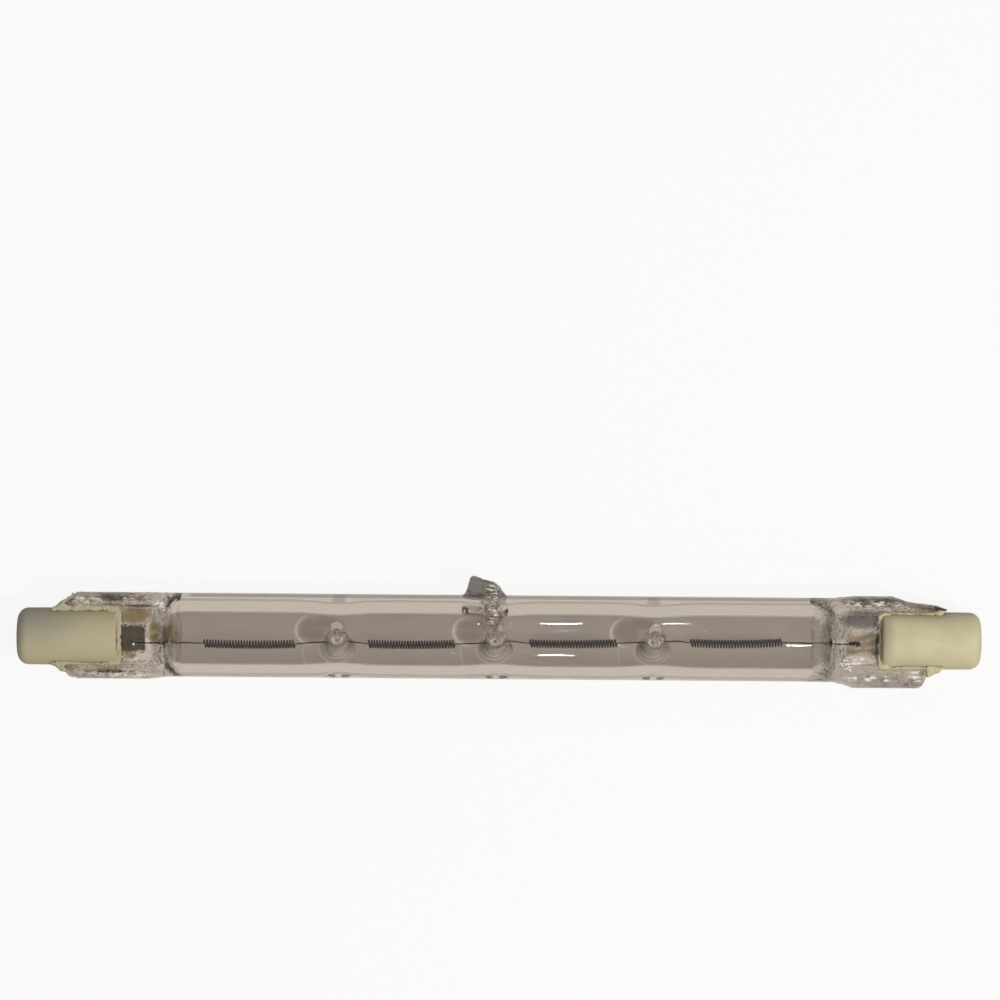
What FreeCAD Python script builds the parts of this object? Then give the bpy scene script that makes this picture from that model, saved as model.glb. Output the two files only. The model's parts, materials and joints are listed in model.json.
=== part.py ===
import FreeCAD, Part
import math
import os
import Sketcher

# Linear halogen lamp, double ended, in millimetres.
# X runs along the lamp, Y lies in the plane of the flat pinch seals, Z is up.
# The origin is the middle of the quartz tube's axis; the lamp lies on its tube.

Vector = FreeCAD.Vector

SIZES = {
    "half_length": 59.0,
    "tube_diameter": 10.3,
    "bore_diameter": 6.6,
    "bore_drop": 0.25,
    "left_seal_start": 40.6,
    "right_seal_start": 41.0,
    "press_run": 3.4,
    "press_radius": 7.0,
    "press_set_back": 0.7,
    "press_run_in": 0.6,
    "seal_thickness": 4.4,
    "web_thickness": 2.6,
    "cavity_tip": 0.7,
    "cavity_end": 0.2,
    "flare_run": 2.4,
    "left_channel_top": 3.8,
    "left_channel_bottom": 4.1,
    "right_channel_top": 3.7,
    "right_channel_bottom": 3.85,
    "channel_rise": 0.35,
    "channel_set_back": 1.6,
    "ridge_round": 0.9,
    "left_seal_end": 53.3,
    "left_seal_top": 5.15,
    "left_seal_bottom": 5.45,
    "left_seal_corner": 1.5,
    "right_seal_end": 53.2,
    "right_seal_top": 5.4,
    "right_seal_bottom": 5.85,
    "right_ridge_end": 52.3,
    "right_slope_start": 48.2,
    "right_slope_foot": 50.1,
    "right_slope_drop": 0.65,
    "right_tongue_end": 54.6,
    "right_tongue_side": 4.3,
    "right_tongue_taper": 0.45,
    "tongue_clear": 3.65,
    "tip_place": -1.9,
    "tip_foot": 4.4,
    "tip_foot_radius": 2.3,
    "tip_shoulder": 5.7,
    "tip_shoulder_radius": 2.0,
    "tip_neck": 6.9,
    "tip_neck_radius": 1.25,
    "tip_end": 7.45,
    "tip_end_radius": 0.55,
    "tip_lean": 0.85,
    "dimple_place": -19.75,
    "dimple_spacing": 19.4,
    "dimple_count": 3,
    "dimple_drop": 0.6,
    "dimple_tilt": 15.0,
    "dome_radius": 1.9,
    "dome_tip": 0.6,
    "dome_gap": 0.5,
    "dome_foot": 0.6,
    "dent_radius": 1.45,
    "dent_tip": 0.4,
    "dent_depth": 2.6,
    "wire_size": 0.18,
    "coil_radius": 0.46,
    "coil_pitch": 0.35,
    "coil_sides": 4,
    "wire_height": 0.17,
    "foil_thickness": 0.08,
    "foil_drop": 0.5,
    "left_foil_width": 3.2,
    "right_foil_width": 2.8,
    "left_foil_start": 43.4,
    "right_foil_start": 42.6,
    "foil_end": 51.6,
    "lead_diameter": 0.6,
    "lead_start": 49.6,
    "lead_play": 0.05,
    "tail_room": 0.2,
    "left_tail_drop": 1.05,
    "left_tail_end": 45.4,
    "right_tail_drop": 0.5,
    "right_tail_end": 42.7,
    "spare_radius": 0.32,
    "spare_height": 0.56,
    "spare_start": 42.6,
    "spare_end": 44.6,
    "spare_room": 0.55,
    "cap_diameter": 7.1,
    "cap_length": 12.2,
    "cap_core": 4.8,
    "cap_round": 1.35,
    "cap_land": 4.1,
    "cap_draft": 0.07,
    "leg_round": 1.2,
    "left_cap_drop": 0.3,
    "right_cap_drop": 0,
    "slot_height": 2.9,
    "recess_diameter": 3.6,
    "recess_depth": 2.6,
    "cap_bore": 1.4,
    "contact_diameter": 2.9,
    "contact_thickness": 0.7,
    "cement_thickness": 3.7,
    "cement_reach": 0.55,
    "cut_margin": 1.0,
}

# Each coil: where it starts and ends along X, and how far its axis lies below
# the tube's axis at its start, middle and end.
COILS = (
    (-36.2, -25.0, 0.93, 1.05, 0.92),
    (-16.1, -5.4, 0.84, 0.92, 0.78),
    (3.7, 14.5, 0.62, 0.68, 0.50),
    (23.4, 34.7, 0.40, 0.50, 0.25),
)

# The wire where it runs straight: places along X and drops below the axis.
LEFT_TAIL = ((-45.2, 1.05), (-41.4, 1.05), (-38.6, 0.86))
SPANS = (
    ((-22.5, 0.70), (-18.9, 0.52)),
    ((-2.8, 0.68), (1.4, 0.36)),
    ((17.2, 0.38), (22.0, 0.20)),
)
RIGHT_TAIL = ((37.6, 0.30), (40.6, 0.50), (42.5, 0.50))
SPARE_TURNS = (42.9, 44.35, 0.5)

# Each end's name and its direction along X.
SIDES = (("left", -1), ("right", 1))
LEAD_HEIGHT = "foil_thickness / 2 + lead_diameter / 2"

document = FreeCAD.newDocument("LinearHalogenLamp")
sheet = document.addObject("Spreadsheet::Sheet", "Dimensions")
for row, (alias, value) in enumerate(SIZES.items(), start=1):
    sheet.set(f"A{row}", alias)
    sheet.set(f"B{row}", str(value))
    sheet.setAlias(f"B{row}", alias)
document.recompute()


def size(alias):
    """Read one driving dimension from the sheet."""
    return float(sheet.get(alias))


def bound(text):
    """Write the sheet's name before each alias in an expression."""
    words = []
    for word in text.split():
        words.append(f"Dimensions.{word}" if word in SIZES else word)
    return " ".join(words)


def body_named(name):
    body = document.addObject("PartDesign::Body", name)
    body.Label = name
    return body


def origin_plane(body, role):
    return next(item for item in body.Origin.OriginFeatures if item.Role == role)


def sketch_on(body, name, role, offset="0", rise="0"):
    """Attach a sketch to one of the body's own planes, moved along its normal
    by offset and along its own second axis by rise."""
    sketch = body.newObject("Sketcher::SketchObject", name)
    sketch.AttachmentSupport = (origin_plane(body, role), [""])
    sketch.MapMode = "FlatFace"
    sketch.setExpression("AttachmentOffset.Base.z", bound(offset))
    sketch.setExpression("AttachmentOffset.Base.y", bound(rise))
    document.recompute()
    return sketch


def place_point(sketch, curve, end, corner):
    """Tie one end of a curve to the two expressions of a corner."""
    for kind, text in zip(("DistanceX", "DistanceY"), corner):
        expression = bound(text)
        value = float(sketch.evalExpression(expression))
        number = sketch.addConstraint(Sketcher.Constraint(kind, -1, 1, curve, end, value))
        sketch.setExpression(f"Constraints[{number}]", expression)


def bulged_arc(start, finish, radius, side):
    """An arc between two points that bulges to the left (1) or right (-1)."""
    chord = finish - start
    half = chord.Length / 2
    sagitta = radius - math.sqrt(radius ** 2 - half ** 2)
    normal = Vector(-chord.y, chord.x, 0).normalize()
    middle = (start + finish) * 0.5 + normal * (sagitta * side)
    return Part.Arc(start, middle, finish)


def add_outline(sketch, corners):
    """Draw a closed outline. A corner is two expressions, and a third and
    fourth item make the edge to the next corner an arc: radius and side."""
    points = []
    for corner in corners:
        pair = [float(sketch.evalExpression(bound(text))) for text in corner[:2]]
        points.append(Vector(pair[0], pair[1], 0))
    following = points[1:] + points[:1]
    curves = []
    for corner, start, finish in zip(corners, points, following):
        if len(corner) == 2:
            curves.append(sketch.addGeometry(Part.LineSegment(start, finish)))
            continue
        radius = float(sketch.evalExpression(bound(corner[2])))
        number = sketch.addGeometry(bulged_arc(start, finish, radius, corner[3]))
        limit = sketch.addConstraint(Sketcher.Constraint("Radius", number, radius))
        sketch.setExpression(f"Constraints[{limit}]", bound(corner[2]))
        curves.append(number)

    def end_at(curve, point):
        near = (sketch.getPoint(curve, 1) - point).Length
        far = (sketch.getPoint(curve, 2) - point).Length
        return 1 if near < far else 2

    for index, curve in enumerate(curves):
        before = curves[index - 1]
        here = points[index]
        first, last = end_at(curve, here), end_at(before, here)
        sketch.addConstraint(Sketcher.Constraint("Coincident", before, last, curve, first))
        place_point(sketch, curve, first, corners[index])


def add_circle(sketch, radius, across="0", up="0"):
    value = float(sketch.evalExpression(bound(radius)))
    number = sketch.addGeometry(Part.Circle(Vector(0, 0, 0), Vector(0, 0, 1), value))
    limit = sketch.addConstraint(Sketcher.Constraint("Radius", number, value))
    sketch.setExpression(f"Constraints[{limit}]", bound(radius))
    place_point(sketch, number, 3, (across, up))


def add_block(sketch, left, right, low, high):
    add_outline(sketch, [(left, low), (right, low), (right, high), (left, high)])


def extrude(body, kind, sketch, length, both_ways=False, backwards=False):
    """Pad or pocket a sketch by a bound length and check that it did its work."""
    before = body.Shape.Volume if body.Tip else 0.0
    feature = body.newObject(f"PartDesign::{kind}", f"{sketch.Name}_{kind.lower()}")
    feature.Profile = sketch
    feature.setExpression("Length", bound(length))
    feature.SideType = "Symmetric" if both_ways else "One side"
    feature.Reversed = backwards
    feature.Refine = False
    document.recompute()
    changed = body.Shape.Volume - before
    if (changed <= 0) if kind == "Pad" else (changed >= 0):
        raise RuntimeError(f"{feature.Name} changed the volume by {changed:.4f}")
    return feature


def turn(body, kind, sketch, axis):
    """Revolve or groove a sketch all round one of its own axes."""
    feature = body.newObject(f"PartDesign::{kind}", f"{sketch.Name}_{kind.lower()}")
    feature.Profile = sketch
    feature.ReferenceAxis = (sketch, [axis])
    feature.Angle = 360
    feature.Refine = False
    document.recompute()
    return feature


def repeat_along(body, feature, name):
    """Repeat a dimple's feature at every dimple place along the tube."""
    pattern = body.newObject("PartDesign::LinearPattern", name)
    pattern.Originals = [feature]
    axis = next(item for item in body.Origin.OriginFeatures if item.Role == "X_Axis")
    pattern.Direction = (axis, [""])
    pattern.setExpression("Length", bound("dimple_spacing * ( dimple_count - 1 )"))
    pattern.setExpression("Occurrences", bound("dimple_count"))
    pattern.Refine = False
    body.Tip = pattern
    document.recompute()
    return pattern


# Quartz envelope: tube, pressed ends, pinch seals, exhaust tip and dimples

def make_tube(body):
    """The tube, as long as the stretch between the two pinch seals."""
    sketch = sketch_on(body, "tube_section", "YZ_Plane", "- left_seal_start - flare_run")
    add_circle(sketch, "tube_diameter / 2")
    extrude(body, "Pad", sketch, "left_seal_start + right_seal_start + 2 * flare_run")


def make_bore(body):
    """The gas space, a little to one side of the tube's middle."""
    sketch = sketch_on(body, "bore_profile", "XY_Plane", "0", "- bore_drop")
    wall = "bore_diameter / 2"
    left, right = "cavity_end - left_seal_start", "right_seal_start - cavity_end"
    add_block(sketch, left, right, "0", wall)
    turn(body, "Groove", sketch, "H_Axis")


def close_bore(body):
    """The gas space narrows to a wedge where the hot ends were pressed flat."""
    sketch = sketch_on(body, "bore_ends", "XZ_Plane")
    for side, start in ((-1, "left_seal_start"), (1, "right_seal_start")):
        for face in (-1, 1):
            tall = f"{face} * ( bore_diameter / 2 + cavity_end )"
            full = (f"{side} * ( {start} - press_run + press_set_back )", tall)
            thin = (f"{side} * {start}", f"{face} * cavity_tip / 2")
            add_outline(sketch, [full, thin, (f"{side} * {start}", tall)])
    extrude(body, "Pad", sketch, "bore_diameter + 2 * bore_drop + cavity_end", both_ways=True)


def press_ends(body):
    """The jaws flatten the tube's ends to the height of the seals."""
    sketch = sketch_on(body, "press_faces", "XZ_Plane")
    for side, start in ((-1, "left_seal_start"), (1, "right_seal_start")):
        for face in (-1, 1):
            tall = f"{face} * ( tube_diameter / 2 + cut_margin )"
            low = f"{face} * seal_thickness / 2"
            full = (f"{side} * ( {start} - press_run )", tall)
            edge = (f"{side} * ( {start} - press_run )", f"{face} * ( tube_diameter / 2 + 0.01 )")
            flat = (f"{side} * ( {start} + press_run_in )", low)
            past = f"{side} * ( {start} + flare_run + cut_margin )"
            curve = ("press_radius", -side * face)
            add_outline(sketch, [full, edge + curve, flat, (past, low), (past, tall)])
    extrude(body, "Pocket", sketch, "tube_diameter + 2 * cut_margin", both_ways=True)


def pad_seal(body, side, end, reach):
    """The seal's section, with its long edges rounded by the fire, drawn out
    from the pressed end of the tube."""
    sketch = sketch_on(body, f"{side}_seal_section", "YZ_Plane", f"{end} * ( {side}_seal_start + 0.1 )")
    top, bottom = f"{side}_seal_top", f"- {side}_seal_bottom"
    tall, low = "seal_thickness / 2", "- seal_thickness / 2"
    add_outline(sketch, [
        (f"{bottom} + ridge_round", low),
        (f"{top} - ridge_round", low, "ridge_round", -1),
        (top, f"{low} + ridge_round"),
        (top, f"{tall} - ridge_round", "ridge_round", -1),
        (f"{top} - ridge_round", tall),
        (f"{bottom} + ridge_round", tall, "ridge_round", -1),
        (bottom, f"{tall} - ridge_round"),
        (bottom, f"{low} + ridge_round", "ridge_round", -1),
    ])
    extrude(body, "Pad", sketch, f"{reach} - {side}_seal_start - 0.1", backwards=end < 0)


def trim_left_seal(body):
    """The jaws' shape in plan: flares at the tube and a corner off each end."""
    sketch = sketch_on(body, "left_seal_trim", "XY_Plane")
    far = "- left_seal_end - cut_margin"
    for face, edge in ((1, "left_seal_top"), (-1, "left_seal_bottom")):
        corner = f"{face} * ( {edge} - left_seal_corner )"
        beyond = f"{face} * ( {edge} + cut_margin )"
        add_outline(sketch, [
            ("- left_seal_end + left_seal_corner", f"{face} * {edge}"),
            ("- left_seal_end", corner),
            (far, corner),
            (far, beyond),
            ("- left_seal_end + left_seal_corner", beyond),
        ])
    flare_trim(sketch, -1, "left_seal_start", -1, "left_seal_bottom")
    extrude(body, "Pocket", sketch, "seal_thickness + cut_margin", both_ways=True)


def flare_trim(sketch, end, start, face, edge):
    """Cut the step between the tube's side and the wider seal to a slope."""
    near, away = f"{end} * {start}", f"{end} * ( {start} + flare_run )"
    beyond = f"{face} * ( {edge} + cut_margin )"
    add_outline(sketch, [
        (near, f"{face} * tube_diameter / 2"),
        (away, f"{face} * {edge}"),
        (away, beyond),
        (near, beyond),
    ])


def trim_right_seal(body):
    """The upper ridge slopes down and runs on as a thin tongue beside the cap.
    The lower ridge stops short with a rounded corner."""
    sketch = sketch_on(body, "right_seal_trim", "XY_Plane")
    far = "right_tongue_end + cut_margin"
    above, below = "right_seal_top + cut_margin", "- right_seal_bottom - cut_margin"
    add_outline(sketch, [
        ("right_slope_start", above),
        ("right_slope_start", "right_seal_top"),
        ("right_slope_foot", "right_seal_top - right_slope_drop"),
        ("right_tongue_end - 2 * right_tongue_taper", "right_tongue_side"),
        ("right_tongue_end", "right_tongue_side - right_tongue_taper"),
        ("right_tongue_end", "tongue_clear"),
        ("right_seal_end", "tongue_clear"),
        ("right_seal_end", "- tongue_clear + right_tongue_taper"),
        ("right_ridge_end", "- tongue_clear"),
        ("right_ridge_end", "- right_seal_bottom + ridge_round", "ridge_round", 1),
        ("right_ridge_end - ridge_round", "- right_seal_bottom"),
        ("right_ridge_end - ridge_round", below),
        (far, below),
        (far, above),
    ])
    flare_trim(sketch, 1, "right_seal_start", -1, "right_seal_bottom")
    flare_trim(sketch, 1, "right_seal_start", 1, "right_seal_top")
    extrude(body, "Pocket", sketch, "seal_thickness + cut_margin", both_ways=True)


def cut_channels(body):
    """A shallow channel above and below each seal leaves the flat web that
    the ceramic cap's two legs straddle, between two ridges."""
    for side, end in SIDES:
        start = f"{end} * ( {side}_seal_start + channel_set_back )"
        sketch = sketch_on(body, f"{side}_channels", "YZ_Plane", start)
        for face in (-1, 1):
            floor = f"{face} * web_thickness / 2"
            open_side = f"{face} * ( seal_thickness / 2 + channel_rise )"
            add_outline(sketch, [
                (f"- {side}_channel_bottom + channel_rise", floor),
                (f"{side}_channel_top - channel_rise", floor),
                (f"{side}_channel_top", open_side),
                (f"- {side}_channel_bottom", open_side),
            ])
        extrude(body, "Pocket", sketch, "half_length - left_seal_start", backwards=end > 0)


def make_exhaust_tip(body):
    """The sealed stub of the exhaust tube: a broad foot, a shoulder and a
    smooth finger that leans to the left."""
    stations = (
        ("tip_foot", "tip_place"),
        ("tip_shoulder", "tip_place"),
        ("tip_neck", "tip_place - tip_lean / 2"),
        ("tip_end", "tip_place - tip_lean"),
    )
    rings = []
    for name, place in stations:
        ring = sketch_on(body, f"{name}_ring", "XZ_Plane", f"- {name}")
        add_circle(ring, f"{name}_radius", place)
        rings.append(ring)
    loft = body.newObject("PartDesign::AdditiveLoft", "exhaust_tip")
    loft.Profile = rings[0]
    loft.Sections = rings[1:]
    loft.Ruled = True
    loft.Refine = False
    document.recompute()


def dimple_sketch(body, name):
    """A plane through the first dimple pair's axis, leaning a little off
    the seals' normal as the pressing tools did."""
    sketch = sketch_on(body, name, "XZ_Plane")
    tilt = FreeCAD.Rotation(Vector(1, 0, 0), -size("dimple_tilt"))
    place = Vector(size("dimple_place"), 0, size("dimple_drop"))
    sketch.AttachmentOffset = FreeCAD.Placement(place, tilt)
    sketch.setExpression("AttachmentOffset.Base.x", bound("dimple_place"))
    sketch.setExpression("AttachmentOffset.Base.z", bound("dimple_drop"))
    sketch.setExpression("AttachmentOffset.Base.y", None)
    document.recompute()
    return sketch


def make_dimples(body):
    """Pairs of domes reach in from both sides and hold the wire between them.
    Each has its dent on the outside."""
    domes = dimple_sketch(body, "dome_profile")
    foot = "( bore_diameter / 2 + dome_foot )"
    for face in (-1, 1):
        add_outline(domes, [
            ("0", f"{face} * dome_gap"),
            ("dome_tip", f"{face} * dome_gap"),
            ("dome_radius", f"{face} * ( bore_diameter / 2 + 0.1 )"),
            ("dome_radius", f"{face} * {foot}"),
            ("0", f"{face} * {foot}"),
        ])
    repeat_along(body, turn(body, "Revolution", domes, "V_Axis"), "dome_row")
    dents = dimple_sketch(body, "dent_profile")
    deep = "( tube_diameter / 2 - dent_depth )"
    mouth = "( tube_diameter / 2 + 0.3 )"
    for face in (-1, 1):
        add_outline(dents, [
            ("0", f"{face} * {deep}"),
            ("dent_tip", f"{face} * {deep}"),
            ("dent_radius", f"{face} * {mouth}"),
            ("0", f"{face} * {mouth}"),
        ])
    repeat_along(body, turn(body, "Groove", dents, "V_Axis"), "dent_row")


def leave_room(body):
    """The glass is closed round each foil, lead and wire tail."""
    for side, end in SIDES:
        foil = sketch_on(body, f"{side}_foil_room", "XY_Plane")
        foil_outline(foil, side, end)
        extrude(body, "Pocket", foil, "foil_thickness", both_ways=True)
        lead = sketch_on(body, f"{side}_lead_room", "YZ_Plane", f"{end} * lead_start")
        add_circle(lead, "lead_diameter / 2 + lead_play", f"- {side}_cap_drop", LEAD_HEIGHT)
        extrude(body, "Pocket", lead, "half_length - lead_start", backwards=end > 0)
        tail = sketch_on(body, f"{side}_tail_room", "YZ_Plane", f"{end} * {side}_tail_end")
        add_circle(tail, "tail_room", f"- {side}_tail_drop", "wire_height")
        reach = f"{side}_tail_end - {side}_seal_start + cut_margin / 2"
        extrude(body, "Pocket", tail, reach, backwards=end < 0)
    spare = sketch_on(body, "spare_room_section", "YZ_Plane", "spare_end")
    add_circle(spare, "spare_room", "- right_tail_drop", "spare_height")
    extrude(body, "Pocket", spare, "spare_end - spare_start")


def foil_outline(sketch, side, end):
    half = f"{side}_foil_width / 2"
    add_block(sketch, f"{end} * {side}_foil_start", f"{end} * foil_end",
              f"- foil_drop - {half}", f"- foil_drop + {half}")


def make_envelope():
    body = body_named("quartz_envelope")
    make_tube(body)
    make_bore(body)
    close_bore(body)
    press_ends(body)
    pad_seal(body, "left", -1, "left_seal_end")
    trim_left_seal(body)
    pad_seal(body, "right", 1, "right_tongue_end")
    trim_right_seal(body)
    cut_channels(body)
    make_exhaust_tip(body)
    make_dimples(body)
    leave_room(body)
    return body


# Filament: one wire, four coils, straight spans held between the dimples

def quadratic(start, middle, end, share):
    """A smooth value through three given at the start, middle and end."""
    return (
        start * (1 - share) * (1 - 2 * share)
        + 4 * middle * share * (1 - share)
        + end * share * (2 * share - 1)
    )


def coil_points(first, last, drops, radius, height):
    """Points of a coil, a fixed number to each turn, winding along X."""
    sides = int(size("coil_sides"))
    turns = round((last - first) / size("coil_pitch"))
    points = []
    for index in range(turns * sides + 1):
        share = index / (turns * sides)
        angle = 2 * math.pi * index / sides
        across = -quadratic(*drops, share) + radius * math.sin(angle)
        points.append(Vector(first + (last - first) * share, across,
                             height - radius * math.cos(angle)))
    return points


def wire_path():
    tail = size("wire_height")
    points = [Vector(x, -drop, tail) for x, drop in LEFT_TAIL]
    for index, (first, last, *drops) in enumerate(COILS):
        points += coil_points(first, last, drops, size("coil_radius"), 0)
        if index < len(SPANS):
            points += [Vector(x, -drop, 0) for x, drop in SPANS[index]]
    points += [Vector(x, -drop, tail) for x, drop in RIGHT_TAIL]
    first, last, drop = SPARE_TURNS
    points += coil_points(first, last, (drop,) * 3, size("spare_radius"), size("spare_height"))
    return points


def mitred_wire(points, radius, corners):
    """A solid wire of a regular section along straight runs, mitred where
    they meet, so that every face is flat."""
    runs = [(b - a).normalize() for a, b in zip(points, points[1:])]
    across = runs[0].cross(Vector(0, 0, 1)).normalize()
    up = across.cross(runs[0])
    ring = []
    for index in range(corners):
        angle = 2 * math.pi * index / corners
        ring.append(points[0] + across * (radius * math.cos(angle)) + up * (radius * math.sin(angle)))
    rings = [ring]
    for index, run in enumerate(runs):
        plane = run + runs[index + 1] if index + 1 < len(runs) else run
        goal = points[index + 1]
        ring = [spot + run * ((goal - spot).dot(plane) / run.dot(plane)) for spot in ring]
        rings.append(ring)
    faces = [Part.Face(Part.makePolygon(end + end[:1])) for end in (rings[0], rings[-1])]
    for near, far in zip(rings, rings[1:]):
        for index in range(corners):
            after = (index + 1) % corners
            faces.append(Part.Face(Part.makePolygon(
                [near[index], near[after], far[after], far[index], near[index]])))
    solid = Part.Solid(Part.Shell(faces))
    if solid.Volume < 0:
        solid.reverse()
    return solid


def make_filament():
    filament = document.addObject("Part::Feature", "filament")
    filament.Label = "filament"
    filament.Shape = mitred_wire(wire_path(), size("wire_size") * 0.75, 3)
    filament.Placement = FreeCAD.Placement()
    return filament


# Current path through each seal: foil, outer lead and contact

def make_foil(side, end):
    body = body_named(f"{side}_foil")
    sketch = sketch_on(body, f"{side}_foil_outline", "XY_Plane")
    foil_outline(sketch, side, end)
    extrude(body, "Pad", sketch, "foil_thickness", both_ways=True)
    return body


def make_outer_lead(side, end):
    """A straight pin welded to the foil's upper face, out to the contact."""
    body = body_named(f"{side}_outer_lead")
    sketch = sketch_on(body, f"{side}_lead_section", "YZ_Plane", f"{end} * lead_start")
    add_circle(sketch, "lead_diameter / 2", f"- {side}_cap_drop", LEAD_HEIGHT)
    extrude(body, "Pad", sketch, "half_length - recess_depth - lead_start", backwards=end < 0)
    return body


def make_contact(side, end):
    """The button in its seat at the bottom of the cap's recess."""
    body = body_named(f"{side}_contact")
    sketch = sketch_on(body, f"{side}_contact_section", "YZ_Plane",
                       f"{end} * ( half_length - recess_depth )")
    add_circle(sketch, "contact_diameter / 2", f"- {side}_cap_drop")
    extrude(body, "Pad", sketch, "contact_thickness", backwards=end < 0)
    return body


# Ceramic caps and the cement that holds them

def rounded_end(end, place, inwards, side, radius, steps):
    """Corners that follow a rounded end of a cap, from its side to its face."""
    corners = []
    for step in range(steps + 1):
        angle = math.pi / 2 * step / steps
        along, across = 1 - math.sin(angle), 1 - math.cos(angle)
        corners.append((f"{end} * ( {place} + {inwards} * {radius} * {along:.4f} )",
                        f"{side} - {radius} * {across:.4f}"))
    return corners


def make_cap(side, end):
    """A ceramic cylinder rounded at both ends, a little thicker towards the
    lamp for the press's draft. A slot leaves two legs that straddle the seal,
    and a recess in the outer end holds the contact."""
    body = body_named(f"{side}_ceramic_cap")
    centre = f"- {side}_cap_drop"
    profile = sketch_on(body, f"{side}_cap_profile", "XY_Plane", "0", centre)
    inner = "( half_length - cap_length )"
    wide = "cap_diameter / 2 + cap_draft"
    leg_end = rounded_end(end, inner, 1, wide, "leg_round", 1)
    land = [(f"{end} * ( half_length - cap_land )", "cap_diameter / 2")]
    outer_end = rounded_end(end, "half_length", -1, "cap_diameter / 2", "cap_round", 2)
    add_outline(profile, [(f"{end} * {inner}", "0")] + leg_end[::-1] + land + outer_end
                + [(f"{end} * half_length", "0")])
    turn(body, "Revolution", profile, "H_Axis")
    slot = sketch_on(body, f"{side}_cap_slot", "XZ_Plane")
    mouth = f"{end} * ( half_length - cap_length - cut_margin )"
    add_block(slot, mouth, f"{end} * ( half_length - cap_core )", "- slot_height / 2", "slot_height / 2")
    extrude(body, "Pocket", slot, "cap_diameter + cut_margin", both_ways=True)
    recess = sketch_on(body, f"{side}_cap_recess", "YZ_Plane", f"{end} * half_length")
    add_circle(recess, "recess_diameter / 2", centre)
    extrude(body, "Pocket", recess, "recess_depth - contact_thickness", backwards=end < 0)
    seat = sketch_on(body, f"{side}_contact_seat", "YZ_Plane", f"{end} * half_length")
    add_circle(seat, "contact_diameter / 2", centre)
    extrude(body, "Pocket", seat, "recess_depth", backwards=end < 0)
    bore = sketch_on(body, f"{side}_cap_bore", "YZ_Plane", f"{end} * half_length")
    add_circle(bore, "cap_bore / 2", centre)
    extrude(body, "Pocket", bore, "cap_core + cut_margin", backwards=end < 0)
    return body


LEFT_CEMENT = (
    ("- 54.7", "3.1"),
    ("- left_seal_end + left_seal_corner - 0.1", "left_seal_top - 0.1"),
    ("- 51.2", "4.3"),
    ("- 50.2", "left_channel_top + 0.1"),
    ("- half_length + cap_length + 0.3", "left_channel_top - 0.1"),
    ("- half_length + cap_length + cement_reach", "2.9"),
    ("- half_length + cap_length + cement_reach", "- 3.3"),
    ("- half_length + cap_length + 0.2", "- left_channel_bottom"),
    ("- 50.6", "- left_channel_bottom - 0.1"),
    ("- 51.1", "- 4.7"),
    ("- left_seal_end + left_seal_corner - 0.1", "- left_seal_bottom + 0.05"),
    ("- 54.8", "- 3.75"),
)
RIGHT_CEMENT = (
    ("54.5", "tongue_clear"),
    ("47.2", "tongue_clear"),
    ("half_length - cap_length - 0.35", "3"),
    ("half_length - cap_length - 0.35", "- 3.2"),
    ("47", "- right_channel_bottom"),
    ("51.4", "- right_channel_bottom"),
    ("right_ridge_end - 0.3", "- 4.6"),
    ("right_ridge_end + 0.2", "- 4.5"),
    ("54.5", "- 3.45"),
)


def make_cement(side, end, outline, neighbours):
    """Cement fills the slot round the seal's end and stands out beside the
    cap. It is what is left of a block when its neighbours are taken away."""
    block = body_named(f"{side}_cement_block")
    sketch = sketch_on(block, f"{side}_cement_outline", "XY_Plane")
    add_outline(sketch, list(outline))
    extrude(block, "Pad", sketch, "cement_thickness", both_ways=True)
    web = sketch_on(block, f"{side}_cement_web", "XZ_Plane")
    mouth = f"{end} * ( half_length - cap_length - cut_margin )"
    add_block(web, mouth, f"{end} * {side}_seal_end", "- web_thickness / 2", "web_thickness / 2")
    extrude(block, "Pocket", web, "2 * tube_diameter", both_ways=True)
    rest = block
    for index, neighbour in enumerate(neighbours, start=1):
        cut = document.addObject("Part::Cut", f"{side}_cement_cut_{index}")
        cut.Base = rest
        cut.Tool = neighbour
        rest = cut
    document.recompute()
    rest.Label = f"{side}_cement"
    return rest


def make_end(side, end, outline, envelope):
    cap = make_cap(side, end)
    lead = make_outer_lead(side, end)
    cement = make_cement(side, end, outline, (envelope, cap, lead))
    return [make_foil(side, end), lead, cap, make_contact(side, end), cement]


def check(pieces):
    """Stop if any object failed or a piece has no sound solid."""
    for item in document.Objects:
        if "Invalid" in item.State or "Error" in item.State:
            raise RuntimeError(f"{item.Name} failed: {item.State}")
    for piece in pieces:
        if piece.Shape.isNull() or not piece.Shape.isValid() or len(piece.Shape.Solids) != 1:
            raise RuntimeError(f"{piece.Label} has {len(piece.Shape.Solids)} solids")


envelope = make_envelope()
pieces = [envelope, make_filament()]
pieces += make_end("left", -1, LEFT_CEMENT, envelope)
pieces += make_end("right", 1, RIGHT_CEMENT, envelope)
document.recompute()
check(pieces)
os.makedirs("parts", exist_ok=True)
for piece in pieces:
    piece.Shape.exportStep(f"parts/{piece.Label}.step")
    print(f"{piece.Label}: {piece.Shape.Volume:.2f} cubic mm")
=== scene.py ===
"""A double-ended linear halogen lamp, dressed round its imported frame.

The quartz envelope is one glass body with a smooth outer skin and a gas cavity, and everything
inside it is seen through real refraction. Sizes are millimetres until they become mesh
coordinates, which are metres.
"""

from __future__ import annotations

import json
import logging
import math
import random
from collections.abc import Callable, Iterable, Sequence
from dataclasses import dataclass
from enum import Enum

import bpy
import numpy as np
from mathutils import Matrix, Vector, noise

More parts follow.
